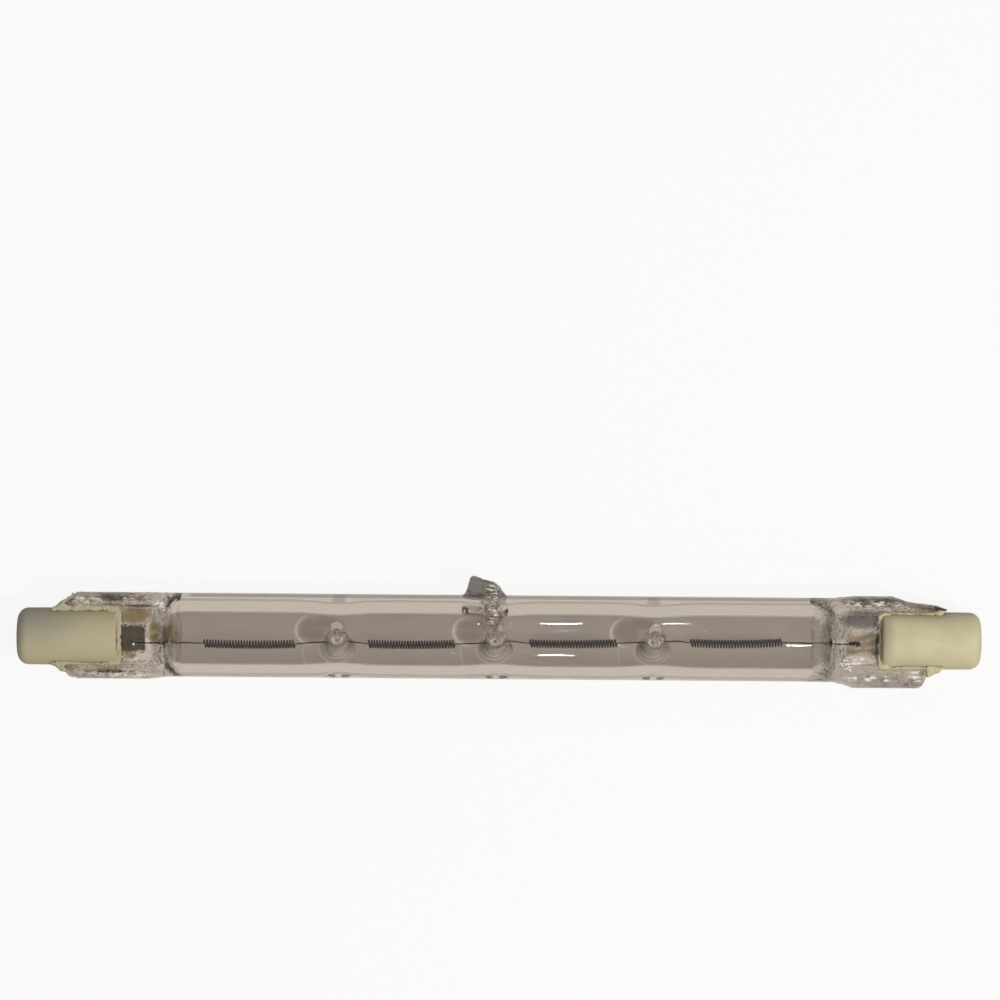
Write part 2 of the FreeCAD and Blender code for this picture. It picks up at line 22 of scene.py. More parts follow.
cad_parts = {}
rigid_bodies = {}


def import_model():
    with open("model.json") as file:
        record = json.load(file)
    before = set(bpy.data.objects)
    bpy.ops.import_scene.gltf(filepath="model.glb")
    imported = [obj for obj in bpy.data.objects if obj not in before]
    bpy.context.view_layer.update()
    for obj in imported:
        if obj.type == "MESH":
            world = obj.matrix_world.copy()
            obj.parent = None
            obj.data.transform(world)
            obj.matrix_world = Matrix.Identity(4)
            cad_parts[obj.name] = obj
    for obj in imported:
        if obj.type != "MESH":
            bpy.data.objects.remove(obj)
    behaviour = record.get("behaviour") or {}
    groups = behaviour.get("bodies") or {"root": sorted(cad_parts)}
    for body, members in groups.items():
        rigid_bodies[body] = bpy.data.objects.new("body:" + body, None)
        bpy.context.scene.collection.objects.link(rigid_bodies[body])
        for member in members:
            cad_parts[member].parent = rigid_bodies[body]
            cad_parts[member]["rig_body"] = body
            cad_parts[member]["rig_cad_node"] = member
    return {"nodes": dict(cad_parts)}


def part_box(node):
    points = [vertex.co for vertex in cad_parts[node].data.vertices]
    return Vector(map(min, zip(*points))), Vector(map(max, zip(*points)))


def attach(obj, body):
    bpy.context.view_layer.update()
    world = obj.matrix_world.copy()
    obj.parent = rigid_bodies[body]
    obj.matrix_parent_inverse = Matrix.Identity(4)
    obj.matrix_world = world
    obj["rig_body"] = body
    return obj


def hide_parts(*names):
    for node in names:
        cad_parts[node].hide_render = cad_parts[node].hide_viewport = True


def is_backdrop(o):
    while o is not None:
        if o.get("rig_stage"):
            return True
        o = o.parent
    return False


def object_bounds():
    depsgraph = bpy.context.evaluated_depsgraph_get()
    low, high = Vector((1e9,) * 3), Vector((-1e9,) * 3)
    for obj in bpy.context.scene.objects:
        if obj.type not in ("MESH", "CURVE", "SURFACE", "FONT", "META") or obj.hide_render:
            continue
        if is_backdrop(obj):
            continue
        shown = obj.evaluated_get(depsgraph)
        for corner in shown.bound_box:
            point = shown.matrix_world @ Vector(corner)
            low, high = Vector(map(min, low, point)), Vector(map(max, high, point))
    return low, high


MM = 0.001
BODY = "root"
LOG = logging.getLogger("linear_lamp")


class Side(Enum):
    """The lamp's two ends, each with its direction along X."""

    LEFT = -1
    RIGHT = 1

    @property
    def label(self) -> str:
        """The word that starts the names of this end's nodes."""
        return self.name.lower()


# Small helpers


def linear(colour: str) -> tuple[float, float, float, float]:
    """Turn an sRGB hex colour into linear values.

    Args:
        colour: Six hex digits.

    Returns:
        Red, green, blue and a full alpha for a shader socket.
    """
    parts = [int(colour[place:place + 2], 16) / 255 for place in (0, 2, 4)]
    red, green, blue = (c / 12.92 if c <= 0.04045 else ((c + 0.055) / 1.055) ** 2.4 for c in parts)
    return red, green, blue, 1.0


def add_node(material: bpy.types.Material, kind: str, settings: dict | None = None,
             links: dict | None = None) -> bpy.types.Node:
    """Add a shader node with its settings and links.

    Args:
        material: The material or world whose tree gets the node.
        kind: The node's Blender type, without the ShaderNode prefix.
        settings: Node properties by name, or input values by socket name or number.
        links: Output sockets to link, by input socket name or number.

    Returns:
        The new node.
    """
    node = material.node_tree.nodes.new(f"ShaderNode{kind}")
    for key, value in (settings or {}).items():
        if isinstance(key, str) and hasattr(node, key) and key not in node.inputs:
            setattr(node, key, value)
        else:
            node.inputs[key].default_value = value
    for key, socket in (links or {}).items():
        material.node_tree.links.new(socket, node.inputs[key])
    return node


def blank_material(name: str) -> bpy.types.Material:
    """Make a material with an empty node tree.

    Args:
        name: The material's name.

    Returns:
        The new material.
    """
    material = bpy.data.materials.new(name)
    material.use_nodes = True
    material.node_tree.nodes.clear()
    return material


def object_position(material: bpy.types.Material) -> bpy.types.NodeSocket:
    """Give the position in the piece's own coordinates, in metres."""
    return add_node(material, "TexCoord").outputs["Object"]


def patch(material: bpy.types.Material, place: bpy.types.NodeSocket, spot: Sequence[float],
          inner: float = 0.6, outer: float = 1.2) -> bpy.types.NodeSocket:
    """Mark a soft oval seen from above.

    Args:
        material: The material that gets the nodes.
        place: The position in metres.
        spot: The oval's middle along X and Y and its reach along X and Y, in millimetres.
        inner: The share of the reach that is fully marked.
        outer: The share of the reach where the mark has faded out.

    Returns:
        A socket that is 1 inside the oval and 0 outside it.
    """
    x, y, reach_x, reach_y = spot
    local = add_node(material, "VectorMath",
                     {"operation": "MULTIPLY_ADD", 1: (1 / (reach_x * MM), 1 / (reach_y * MM), 0.0),
                      2: (-x / reach_x, -y / reach_y, 0.0)}, {0: place})
    away = add_node(material, "VectorMath", {"operation": "LENGTH"}, {0: local.outputs[0]})
    mark = add_node(material, "MapRange", {"interpolation_type": "SMOOTHSTEP", "From Min": outer,
                                           "From Max": inner}, {"Value": away.outputs["Value"]})
    return mark.outputs["Result"]


def join_values(material: bpy.types.Material, operation: str, *values: bpy.types.NodeSocket | float,
                ) -> bpy.types.NodeSocket:
    """Fold two or more values together with one maths operation.

    Args:
        material: The material or world that gets the nodes.
        operation: The operation, by Blender's name for it.
        values: Sockets or plain numbers, folded from the first on.

    Returns:
        A socket that gives the result.
    """
    result = values[0]
    for value in values[1:]:
        pair = dict(enumerate((result, value)))
        settings = {index: item for index, item in pair.items() if isinstance(item, (int, float))}
        links = {index: item for index, item in pair.items() if index not in settings}
        result = add_node(material, "Math", {"operation": operation, **settings}, links).outputs[0]
    return result


def strongest_patch(material: bpy.types.Material, place: bpy.types.NodeSocket,
                    spots: tuple[tuple[float, ...], ...]) -> bpy.types.NodeSocket:
    """Mark several soft ovals, each with its own strength.

    Args:
        material: The material that gets the nodes.
        place: The position in metres.
        spots: Each oval's middle and reach as in patch, then its strength.

    Returns:
        A socket that gives the strongest mark at each place.
    """
    marks = (join_values(material, "MULTIPLY", patch(material, place, oval), strength)
             for *oval, strength in spots)
    return join_values(material, "MAXIMUM", *marks)


def paint_over(material: bpy.types.Material, colour: bpy.types.NodeSocket,
               coats: Iterable[tuple[bpy.types.NodeSocket, str]]) -> bpy.types.NodeSocket:
    """Lay coats of colour one over another.

    Args:
        material: The material that gets the nodes.
        colour: The colour under the coats.
        coats: Each coat's share, a socket that goes from 0 to 1, and its sRGB hex colour.

    Returns:
        The colour with all its coats.
    """
    for share, coat in coats:
        mixed = add_node(material, "Mix", {"data_type": "RGBA", 7: linear(coat)}, {0: share, 6: colour})
        colour = mixed.outputs[2]
    return colour


def deselect_all() -> None:
    """Leave nothing selected and no edit mode open."""
    if bpy.context.object and bpy.context.object.mode != "OBJECT":
        bpy.ops.object.mode_set(mode="OBJECT")
    bpy.ops.object.select_all(action="DESELECT")


def activate(piece: bpy.types.Object) -> None:
    """Select one object alone and make it active.

    Args:
        piece: The object.
    """
    deselect_all()
    piece.select_set(True)
    bpy.context.view_layer.objects.active = piece


def settle(piece: bpy.types.Object) -> None:
    """Put an object's place, turn and scale into its mesh."""
    activate(piece)
    bpy.ops.object.transform_apply(location=True, rotation=True, scale=True)


def apply_modifier(piece: bpy.types.Object, kind: str, settings: dict) -> None:
    """Add a modifier and apply it.

    Args:
        piece: The mesh object.
        kind: The modifier's Blender type.
        settings: The modifier's properties by name.
    """
    activate(piece)
    modifier = piece.modifiers.new(kind.lower(), kind)
    for key, value in settings.items():
        setattr(modifier, key, value)
    bpy.ops.object.modifier_apply(modifier=modifier.name)


def smooth_piece(piece: bpy.types.Object, angle: float | None = None) -> None:
    """Shade a piece smooth.

    Args:
        piece: The mesh object.
        angle: The sharpest edge that is still smoothed, in degrees, or None for all edges.
    """
    activate(piece)
    if angle is None:
        bpy.ops.object.shade_smooth()
    else:
        bpy.ops.object.shade_smooth_by_angle(angle=math.radians(angle))


def select_where(piece: bpy.types.Object, wanted: Callable[[Vector, Vector], bool]) -> None:
    """Select the faces that a test picks, with their edges and corners.

    Args:
        piece: The mesh object, which becomes active.
        wanted: A test of a face's centre and normal.
    """
    activate(piece)
    bpy.ops.object.mode_set(mode="EDIT")
    bpy.ops.mesh.select_mode(type="FACE")
    bpy.ops.mesh.select_all(action="DESELECT")
    bpy.ops.object.mode_set(mode="OBJECT")
    for face in piece.data.polygons:
        face.select = wanted(face.center, face.normal)


def ramp(value: np.ndarray, low: float, high: float) -> np.ndarray:
    """Rise smoothly from 0 at low to 1 at high."""
    share = np.clip((value - low) / (high - low), 0.0, 1.0)
    return share * share * (3 - 2 * share)


def even_outline(points: np.ndarray, count: int, crowding: float = 0.0) -> np.ndarray:
    """Space points along a closed outline, from its first point on.

    Args:
        points: The outline's points in order, without a repeat of the first.
        count: How many points to return.
        crowding: How much closer they stand near the first point: 0 is evenly spaced.

    Returns:
        An array of count points.
    """
    closed = np.vstack([points, points[:1]])
    lengths = np.concatenate([[0.0], np.cumsum(np.linalg.norm(np.diff(closed, axis=0), axis=1))])
    shares = np.linspace(0.0, 1.0, count, endpoint=False)
    wanted = (shares - crowding * np.sin(2 * math.pi * shares) / (2 * math.pi)) * lengths[-1]
    return np.stack([np.interp(wanted, lengths, closed[:, axis]) for axis in (0, 1)], axis=1)


def rolled_sheet(name: str, rings: np.ndarray, inward: bool = False) -> bpy.types.Object:
    """Roll a flat grid into a closed skin whose rings follow given outlines.

    Args:
        name: The new object's name.
        rings: Points in millimetres, station by station, each ring in order round the X axis.
        inward: Turn the faces towards the axis, as on the wall of a hollow.

    Returns:
        The closed, smooth mesh object.
    """
    stations, around = rings.shape[:2]
    deselect_all()
    bpy.ops.mesh.primitive_grid_add(x_subdivisions=stations - 1, y_subdivisions=around, size=2)
    piece = bpy.context.object
    piece.name = name
    flat = np.empty(len(piece.data.vertices) * 3)
    piece.data.vertices.foreach_get("co", flat)
    grid = flat.reshape(-1, 3)
    along = np.rint((grid[:, 0] + 1) / 2 * (stations - 1)).astype(int)
    turn = np.rint((grid[:, 1] + 1) / 2 * around).astype(int) % around
    piece.data.vertices.foreach_set("co", (rings[along, turn] * MM).ravel())
    piece.data.update()
    activate(piece)
    bpy.ops.object.mode_set(mode="EDIT")
    bpy.ops.mesh.select_all(action="SELECT")
    bpy.ops.mesh.remove_doubles(threshold=1e-7)
    bpy.ops.mesh.normals_make_consistent(inside=inward)
    bpy.ops.object.mode_set(mode="OBJECT")
    bpy.ops.object.shade_smooth()
    return piece


# Finishes


@dataclass(frozen=True)
class FusedQuartz:
    """Fused quartz, drawn and fire polished. It is clear and very smooth, with ripples only
    where the jaws pressed it, so it is all reflections and bent light.

    Its marks are soft ovals seen from above: the middle along X and Y, then the reach along
    X and Y, in millimetres. Where there is a fifth value, it is the mark's strength.
    """

    name: str = "fused_quartz_drawn"
    # The tint is greyed as painted shade, standing in for the shaded ground seen through the glass.
    tint: str = "C5BAAC"
    stain: str = "836D48"
    # Colour of the painted deep shade.
    soot: str = "2A241F"
    shade: str = "726B67"
    # Colour of the painted shade line along the tube's +Y edge.
    edge: str = "4E4440"
    ior: float = 1.458
    ripple_mm: float = 0.55
    ripple_depth_mm: float = 0.45
    left_ripples_mm: tuple[float, float] = (39.6, 40.6)
    right_ripples_mm: tuple[float, float] = (38.0, 40.0)
    cloud_mm: float = 0.8
    cloud_levels: tuple[float, float] = (0.26, 0.48)
    stains: tuple[tuple[float, ...], ...] = (
        (-44.5, 2.3, 2.1, 1.2), (-42.1, 0.2, 1.0, 1.5), (-39.9, 0.0, 0.9, 1.7), (-45.4, -2.5, 1.0, 0.6),
        (-45.5, 4.6, 3.0, 0.5))
    # Painted deep shade: dark lines along the seals' ridges, dark spots in the seals, and at (46.5, -0.4)
    # the right foil's dark reflection of the cap's shaded leg end.
    soots: tuple[tuple[float, ...], ...] = (
        (-40.9, -0.3, 0.36, 1.5), (-47.4, 4.5, 1.6, 0.55), (-47.4, -4.55, 2.0, 0.22),
        (-43.6, 3.5, 2.0, 0.18), (47.2, 4.85, 4.2, 0.22), (54.0, 4.1, 0.9, 0.5),
        (46.5, -0.4, 0.5, 1.2))
    soot_fade: tuple[float, float] = (0.75, 1.15)
    soot_share: float = 0.9
    shades: tuple[tuple[float, ...], ...] = (
        (44.6, 2.5, 3.2, 1.2, 1.0), (46.0, 4.9, 5.5, 0.8, 0.85), (-46.6, 4.8, 2.4, 0.6, 0.8),
        (46.5, -4.9, 5.4, 1.1, 0.35), (47.0, -5.72, 5.2, 0.2, 0.9), (41.6, -3.6, 1.8, 2.0, 0.2),
        (40.3, 0.3, 1.5, 3.4, 0.4),
        (-2.4, 6.2, 2.4, 1.6, 0.85), (-19.75, 1.25, 0.9, 0.65, 0.6), (-0.35, 1.25, 0.9, 0.65, 0.6),
        (19.05, 1.25, 0.9, 0.65, 0.6))
    hazes: tuple[tuple[float, ...], ...] = (
        (-3.1, 5.8, 1.6, 1.9, 0.26), (-19.75, 0.6, 1.1, 1.3, 0.05), (-0.35, 0.6, 1.1, 1.3, 0.05),
        (19.05, 0.6, 1.1, 1.3, 0.05), (-40.3, 0.0, 1.2, 5.2, 0.07))
    calms: tuple[tuple[float, ...], ...] = (
        (-42.0, -0.95, 3.6, 0.55), (41.0, -0.4, 3.6, 0.55), (-46.5, -4.7, 4.6, 0.5))
    calm_share: float = 0.85
    melted: tuple[float, ...] = (-0.8, 3.6, 1.5, 3.4)
    melted_share: float = 0.5
    # White frost of trapped gas in the seals and the stub; its specks are also laid where the glass
    # sparkles, so they are partly painted glints.
    frost: str = "F2EDE2"
    frost_mm: float = 0.34
    frost_levels: tuple[float, float] = (0.5, 0.6)
    frost_share: float = 0.8
    frost_stretch: float = 0.4
    frosts: tuple[tuple[float, ...], ...] = (
        (45.6, 4.45, 4.6, 0.42), (45.4, -4.75, 3.9, 0.42), (51.0, -4.5, 1.3, 0.9), (43.4, -2.9, 2.0, 1.0),
        (-45.0, 4.6, 2.4, 0.35), (-46.0, -5.0, 4.6, 0.3), (-41.6, 3.4, 1.1, 0.9), (-43.8, -3.2, 1.0, 0.6),
        (-50.6, 4.2, 1.6, 0.9), (-0.9, 5.6, 0.9, 1.2), (-0.7, 3.4, 0.85, 2.0))
    # Where the painted shade line along the +Y edge lies, and which slanted faces carry it.
    tube_half_mm: float = 37.6
    tube_fade_mm: float = 0.8
    edge_start_mm: float = 4.55
    edge_fade_mm: float = 0.2
    edge_facing: tuple[float, float] = (0.44, 0.62)
    edge_turn: tuple[float, float] = (0.2, 0.75)
    edge_strength: float = 0.85
    stub: tuple[float, ...] = (-1.9, 6.1, 3.2, 1.7)

    def build(self) -> bpy.types.Material:
        """Make the material.

        Returns:
            The finished material.
        """
        material = blank_material(self.name)
        place = object_position(material)
        bump = add_node(material, "Bump", {"Strength": 1.0, "Distance": self.ripple_depth_mm * MM},
                        {"Height": self.ripples(material, place)})
        frosted = self.frosted(material, place)
        milky = join_values(material, "MAXIMUM", frosted, strongest_patch(material, place, self.hazes))
        glass = add_node(material, "BsdfPrincipled", {"Roughness": 0.0, "IOR": self.ior},
                         {"Normal": bump.outputs["Normal"],
                          "Base Color": self.marked_colour(material, place, frosted),
                          "Transmission Weight": join_values(material, "SUBTRACT", 1.0, milky)})
        return let_lamps_through(material, glass, self.tint)

    def ripples(self, material: bpy.types.Material, place: bpy.types.NodeSocket) -> bpy.types.NodeSocket:
        """Draw the ripples of the pressed ends, and weaker ones where the exhaust tube was melted on.

        Args:
            material: The material that gets the nodes.
            place: The position in metres.

        Returns:
            A socket that gives the ripples' height, from 0 to 1.
        """
        ripple = add_node(material, "TexNoise", {"Scale": 1 / (self.ripple_mm * MM), "Detail": 3.0,
                                                 "Distortion": 0.6}, {"Vector": place})
        along = add_node(material, "SeparateXYZ", links={0: place}).outputs["X"]
        ends = [add_node(material, "MapRange", {"From Min": side.value * start * MM,
                                                "From Max": side.value * full * MM}, {"Value": along})
                for side, (start, full) in ((Side.RIGHT, self.right_ripples_mm),
                                            (Side.LEFT, self.left_ripples_mm))]
        pressed = join_values(material, "ADD", *(end.outputs["Result"] for end in ends))
        calm = join_values(material, "MAXIMUM", *(patch(material, place, spot) for spot in self.calms))
        rough = join_values(material, "SUBTRACT", 1.0,
                            join_values(material, "MULTIPLY", calm, self.calm_share))
        melted = join_values(material, "MULTIPLY", patch(material, place, self.melted), self.melted_share)
        amount = join_values(material, "MAXIMUM", join_values(material, "MULTIPLY", pressed, rough), melted)
        return join_values(material, "MULTIPLY", ripple.outputs["Fac"], amount)

    def marked_colour(self, material: bpy.types.Material, place: bpy.types.NodeSocket,
                      frosted: bpy.types.NodeSocket) -> bpy.types.NodeSocket:
        """Colour the glass with its stains, painted shade, painted deep shade, a painted shade line along
        the +Y edge, and white frost that is partly painted glints.

        Args:
            material: The material that gets the nodes.
            place: The position in metres.
            frosted: The frost's share.

        Returns:
            The glass's colour.
        """
        cloud = add_node(material, "TexNoise", {"Scale": 1 / (self.cloud_mm * MM), "Detail": 4.0},
                         {"Vector": place})
        broken = add_node(material, "MapRange",
                          {"From Min": self.cloud_levels[0], "From Max": self.cloud_levels[1]},
                          {"Value": cloud.outputs["Fac"]}).outputs["Result"]
        stained = join_values(material, "MAXIMUM", *(patch(material, place, spot) for spot in self.stains))
        deep_shaded = join_values(material, "MAXIMUM",
                            *(patch(material, place, spot, *self.soot_fade) for spot in self.soots))
        colour = add_node(material, "Mix",
                          {"data_type": "RGBA", 6: linear(self.tint), 7: linear(self.stain)},
                          {0: join_values(material, "MULTIPLY", stained, broken)}).outputs[2]
        return paint_over(material, colour, (
            (strongest_patch(material, place, self.shades), self.shade),
            (join_values(material, "MULTIPLY", deep_shaded, self.soot_share), self.soot),
            (self.dark_edge(material, place), self.edge),
            (frosted, self.frost)))

    def frosted(self, material: bpy.types.Material, place: bpy.types.NodeSocket) -> bpy.types.NodeSocket:
        """Mark the streaks of fine trapped gas that scatter the light in the pressed ends and the stub; they
        are partly painted glints where the glass sparkles.

        Args:
            material: The material that gets the nodes.
            place: The position in metres.

        Returns:
            A socket that is near 1 on the streaks.
        """
        drawn = add_node(material, "Mapping", {"Scale": (self.frost_stretch, 1.0, 1.0)}, {"Vector": place})
        grain = add_node(material, "TexNoise", {"Scale": 1 / (self.frost_mm * MM), "Detail": 2.0},
                         {"Vector": drawn.outputs[0]})
        broken = add_node(material, "MapRange",
                          {"From Min": self.frost_levels[0], "From Max": self.frost_levels[1],
                           "To Max": self.frost_share}, {"Value": grain.outputs["Fac"]})
        streaks = join_values(material, "MAXIMUM", *(patch(material, place, spot) for spot in self.frosts))
        return join_values(material, "MULTIPLY", streaks, broken.outputs["Result"])

    def dark_edge(self, material: bpy.types.Material, place: bpy.types.NodeSocket) -> bpy.types.NodeSocket:
        """Paint shade as a dark line along the tube's +Y edge, on faces seen at a slant that turn towards
        +Y.

        Args:
            material: The material that gets the nodes.
            place: The position in metres.

        Returns:
            A socket that is near 1 on the line and 0 on the stub and the seals.
        """
        facing = add_node(material, "LayerWeight", {"Blend": 0.5}).outputs["Facing"]
        grazed = add_node(material, "MapRange",
                          {"From Min": self.edge_facing[0], "From Max": self.edge_facing[1]},
                          {"Value": facing})
        turned = add_node(material, "SeparateXYZ",
                          links={0: add_node(material, "TexCoord").outputs["Normal"]}).outputs["Y"]
        upper = add_node(material, "MapRange",
                         {"From Min": self.edge_turn[0], "From Max": self.edge_turn[1],
                          "To Max": self.edge_strength}, {"Value": turned})
        parts = add_node(material, "SeparateXYZ", links={0: place})
        away = add_node(material, "Math", {"operation": "ABSOLUTE"}, {0: parts.outputs["X"]})
        tube = add_node(material, "MapRange", {"From Min": (self.tube_half_mm + self.tube_fade_mm) * MM,
                                               "From Max": self.tube_half_mm * MM},
                        {"Value": away.outputs[0]})
        high = add_node(material, "MapRange", {"From Min": self.edge_start_mm * MM,
                                               "From Max": (self.edge_start_mm + self.edge_fade_mm) * MM},
                        {"Value": parts.outputs["Y"]})
        bare = join_values(material, "SUBTRACT", 1.0, patch(material, place, self.stub))
        return join_values(material, "MULTIPLY", grazed.outputs["Result"], upper.outputs["Result"],
                           tube.outputs["Result"], high.outputs["Result"], bare)


def let_lamps_through(material: bpy.types.Material, shader: bpy.types.Node, tint: str,
                      ) -> bpy.types.Material:
    """Let lamps shine through a glass shader instead of casting a solid shadow.

    Args:
        material: The material that gets the nodes.
        shader: The glass shader's node.
        tint: The colour that the glass gives the lamps' light.

    Returns:
        The finished material.
    """
    ray = add_node(material, "LightPath")
    open_glass = add_node(material, "BsdfTransparent", {"Color": linear(tint)})
    mixed = add_node(material, "MixShader", links={0: ray.outputs["Is Shadow Ray"],
                                                   1: shader.outputs[0], 2: open_glass.outputs[0]})
    add_node(material, "OutputMaterial", links={"Surface": mixed.outputs[0]})
    return material


@dataclass(frozen=True)
class CavityWall:
    """The tube's inner wall. Its grey-mauve colour is painted shade, standing in for the shaded ground seen
    through the glass. On the lower half the wall is partly diffuse and dulls what is seen through it.

    Its painted shadow and painted light repeat with the dimples. Each mark is a soft oval beside a dimple,
    seen from above: the middle and reach along X and Y in millimetres, then the shares of the reach where it
    fades.
    """

    name: str
    # The tint and the second colour are mixed at random into the wall's grey: painted shade for the shaded
    # ground seen through the glass.
    tint: str
    film: str
    clear_share: float
    ior: float = 1.458
    cloud_mm: float = 6.0
    # Painted shadow: the darker oval that each dimple casts beside itself.
    thick: str = "857D82"
    # Painted light: the bright rim, the slanting line and the rings beside each dimple.
    thin: str = "F4EFE4"
    first_dimple: float = -19.75
    dimple_spacing: float = 19.4
    marked_half_mm: float = 29.0
    marked_fade_mm: float = 0.4
    thick_ovals: tuple[tuple[float, ...], ...] = (
        (-3.1, 1.0, 2.1, 1.95, 0.5, 1.05), (-1.4, 2.1, 2.2, 0.9, 0.5, 1.1))
    thick_share: float = 0.7
    # The painted bright rim along the shadow oval's edge.
    edge: tuple[tuple[float, ...], ...] = (
        (-3.2, 0.95, 2.25, 2.1, 0.88, 1.06), (-2.9, 1.0, 2.25, 2.1, 0.86, 1.04))
    edge_share: float = 0.85
    # A painted slanting line of light below each dimple.
    streak: tuple[tuple[float, ...], ...] = (
        (-3.0, -2.0, 1.4, 2.3, 0.9, 1.04), (-2.85, -1.85, 1.4, 2.3, 0.9, 1.04))
    streak_share: float = 0.4
    # Pale painted rings of refracted light round the lower dimple.
    ring_reaches: tuple[float, ...] = (2.05, 1.5, 0.95)
    ring_share: float = 0.7

    def build(self) -> bpy.types.Material:
        """Make the material.

        Returns:
            The finished material.
        """
        material = blank_material(self.name)
        place = object_position(material)
        cloud = add_node(material, "TexNoise", {"Scale": 1 / (self.cloud_mm * MM), "Detail": 4.0,
                                                "Roughness": 0.6}, {"Vector": place})
        colour = add_node(material, "Mix",
                          {"data_type": "RGBA", 6: linear(self.tint), 7: linear(self.film)},
                          {0: cloud.outputs["Fac"]}).outputs[2]
        # The partly diffuse wall gets the painted light and shade beside the dimples.
        if self.clear_share < 1:
            colour = self.with_marks(material, place, colour)
        wall = add_node(material, "BsdfPrincipled",
                        {"Roughness": 0.0, "IOR": self.ior, "Transmission Weight": self.clear_share},
                        {"Base Color": colour})
        return let_lamps_through(material, wall, self.tint)

    @staticmethod
    def crescent(material: bpy.types.Material, place: bpy.types.NodeSocket, oval: tuple[float, ...],
                 hole: tuple[float, ...]) -> bpy.types.NodeSocket:
        """Mark what one soft oval leaves of another.

        Args:
            material: The material that gets the nodes.
            place: The position beside a dimple, in metres.
            oval: The oval that is marked.
            hole: The oval that is taken away from it.

        Returns:
            A socket that is near 1 on the crescent.
        """
        return join_values(material, "SUBTRACT", patch(material, place, oval[:4], *oval[4:]),
                           patch(material, place, hole[:4], *hole[4:]))

    def with_marks(self, material: bpy.types.Material, place: bpy.types.NodeSocket,
                   colour: bpy.types.NodeSocket) -> bpy.types.NodeSocket:
        """Paint shade and light beside each dimple: a darker oval of painted shadow, a painted bright rim
        along the oval's edge, a slanting painted line of light, and pale painted rings of refracted light
        round the dimple.

        Args:
            material: The material that gets the nodes.
            place: The position in metres.
            colour: The wall's colour elsewhere.

        Returns:
            The colour with the marks.
        """
        parts = add_node(material, "SeparateXYZ", links={0: place})
        half = self.dimple_spacing * MM / 2
        wrapped = add_node(material, "Math", {"operation": "WRAP", 1: half, 2: -half},
                           {0: join_values(material, "ADD", parts.outputs["X"], -self.first_dimple * MM)})
        local = add_node(material, "CombineXYZ", links={"X": wrapped.outputs[0], "Y": parts.outputs["Y"]})
        away = add_node(material, "Math", {"operation": "ABSOLUTE"}, {0: parts.outputs["X"]})
        inside = add_node(material, "MapRange",
                          {"From Min": (self.marked_half_mm + self.marked_fade_mm) * MM,
                           "From Max": self.marked_half_mm * MM},
                          {"Value": away.outputs[0]}).outputs["Result"]
        beside = local.outputs[0]
        thick = join_values(material, "MAXIMUM",
                            *(patch(material, beside, oval[:4], *oval[4:]) for oval in self.thick_ovals))
        rings = join_values(material, "MAXIMUM", *(
            self.crescent(material, beside, (-0.3, -1.5, reach, reach, 0.93, 1.03),
                          (-0.25, -1.38, reach, reach, 0.9, 1.0)) for reach in self.ring_reaches))
        # Painted shadow, then painted light in rings, along the rim and in a slanting line.
        marks = ((thick, self.thick_share, self.thick), (rings, self.ring_share, self.thin),
                 (self.crescent(material, beside, *self.edge), self.edge_share, self.thin),
                 (self.crescent(material, beside, *self.streak), self.streak_share, self.thin))
        return paint_over(material, colour, (
            (join_values(material, "MULTIPLY", mark, inside, share), film) for mark, share, film in marks))


@dataclass(frozen=True)
class DrawnMetal:
    """A drawn, rolled or stamped metal with fine lines along the lamp. Its lines break the
    reflections up lengthways."""

    name: str
    colour: str
    dark: str
    roughness: float
    line_mm: float = 0.12
    line_stretch: float = 0.08
    line_depth_mm: float = 0.02
    line_strength: float = 0.3
    rim: str = "FFFFFF"

    def build(self) -> bpy.types.Material:
        """Make the material.

        Returns:
            The finished material.
        """
        material = blank_material(self.name)
        place = object_position(material)
        stretched = add_node(material, "Mapping", {"Scale": (self.line_stretch, 1.0, 1.0)},
                             {"Vector": place})
        lines = add_node(material, "TexNoise", {"Scale": 1 / (self.line_mm * MM), "Detail": 2.0},
                         {"Vector": stretched.outputs[0]})
        colour = add_node(material, "Mix",
                          {"data_type": "RGBA", 6: linear(self.dark), 7: linear(self.colour)},
                          {0: lines.outputs["Fac"]})
        bump = add_node(material, "Bump",
                        {"Strength": self.line_strength, "Distance": self.line_depth_mm * MM},
                        {"Height": lines.outputs["Fac"]})
        metal = add_node(material, "BsdfPrincipled", {"Metallic": 1.0, "Roughness": self.roughness,
                                                      "Specular Tint": linear(self.rim)},
                         {"Base Color": colour.outputs[2], "Normal": bump.outputs["Normal"]})
        add_node(material, "OutputMaterial", links={"Surface": metal.outputs[0]})
        return material


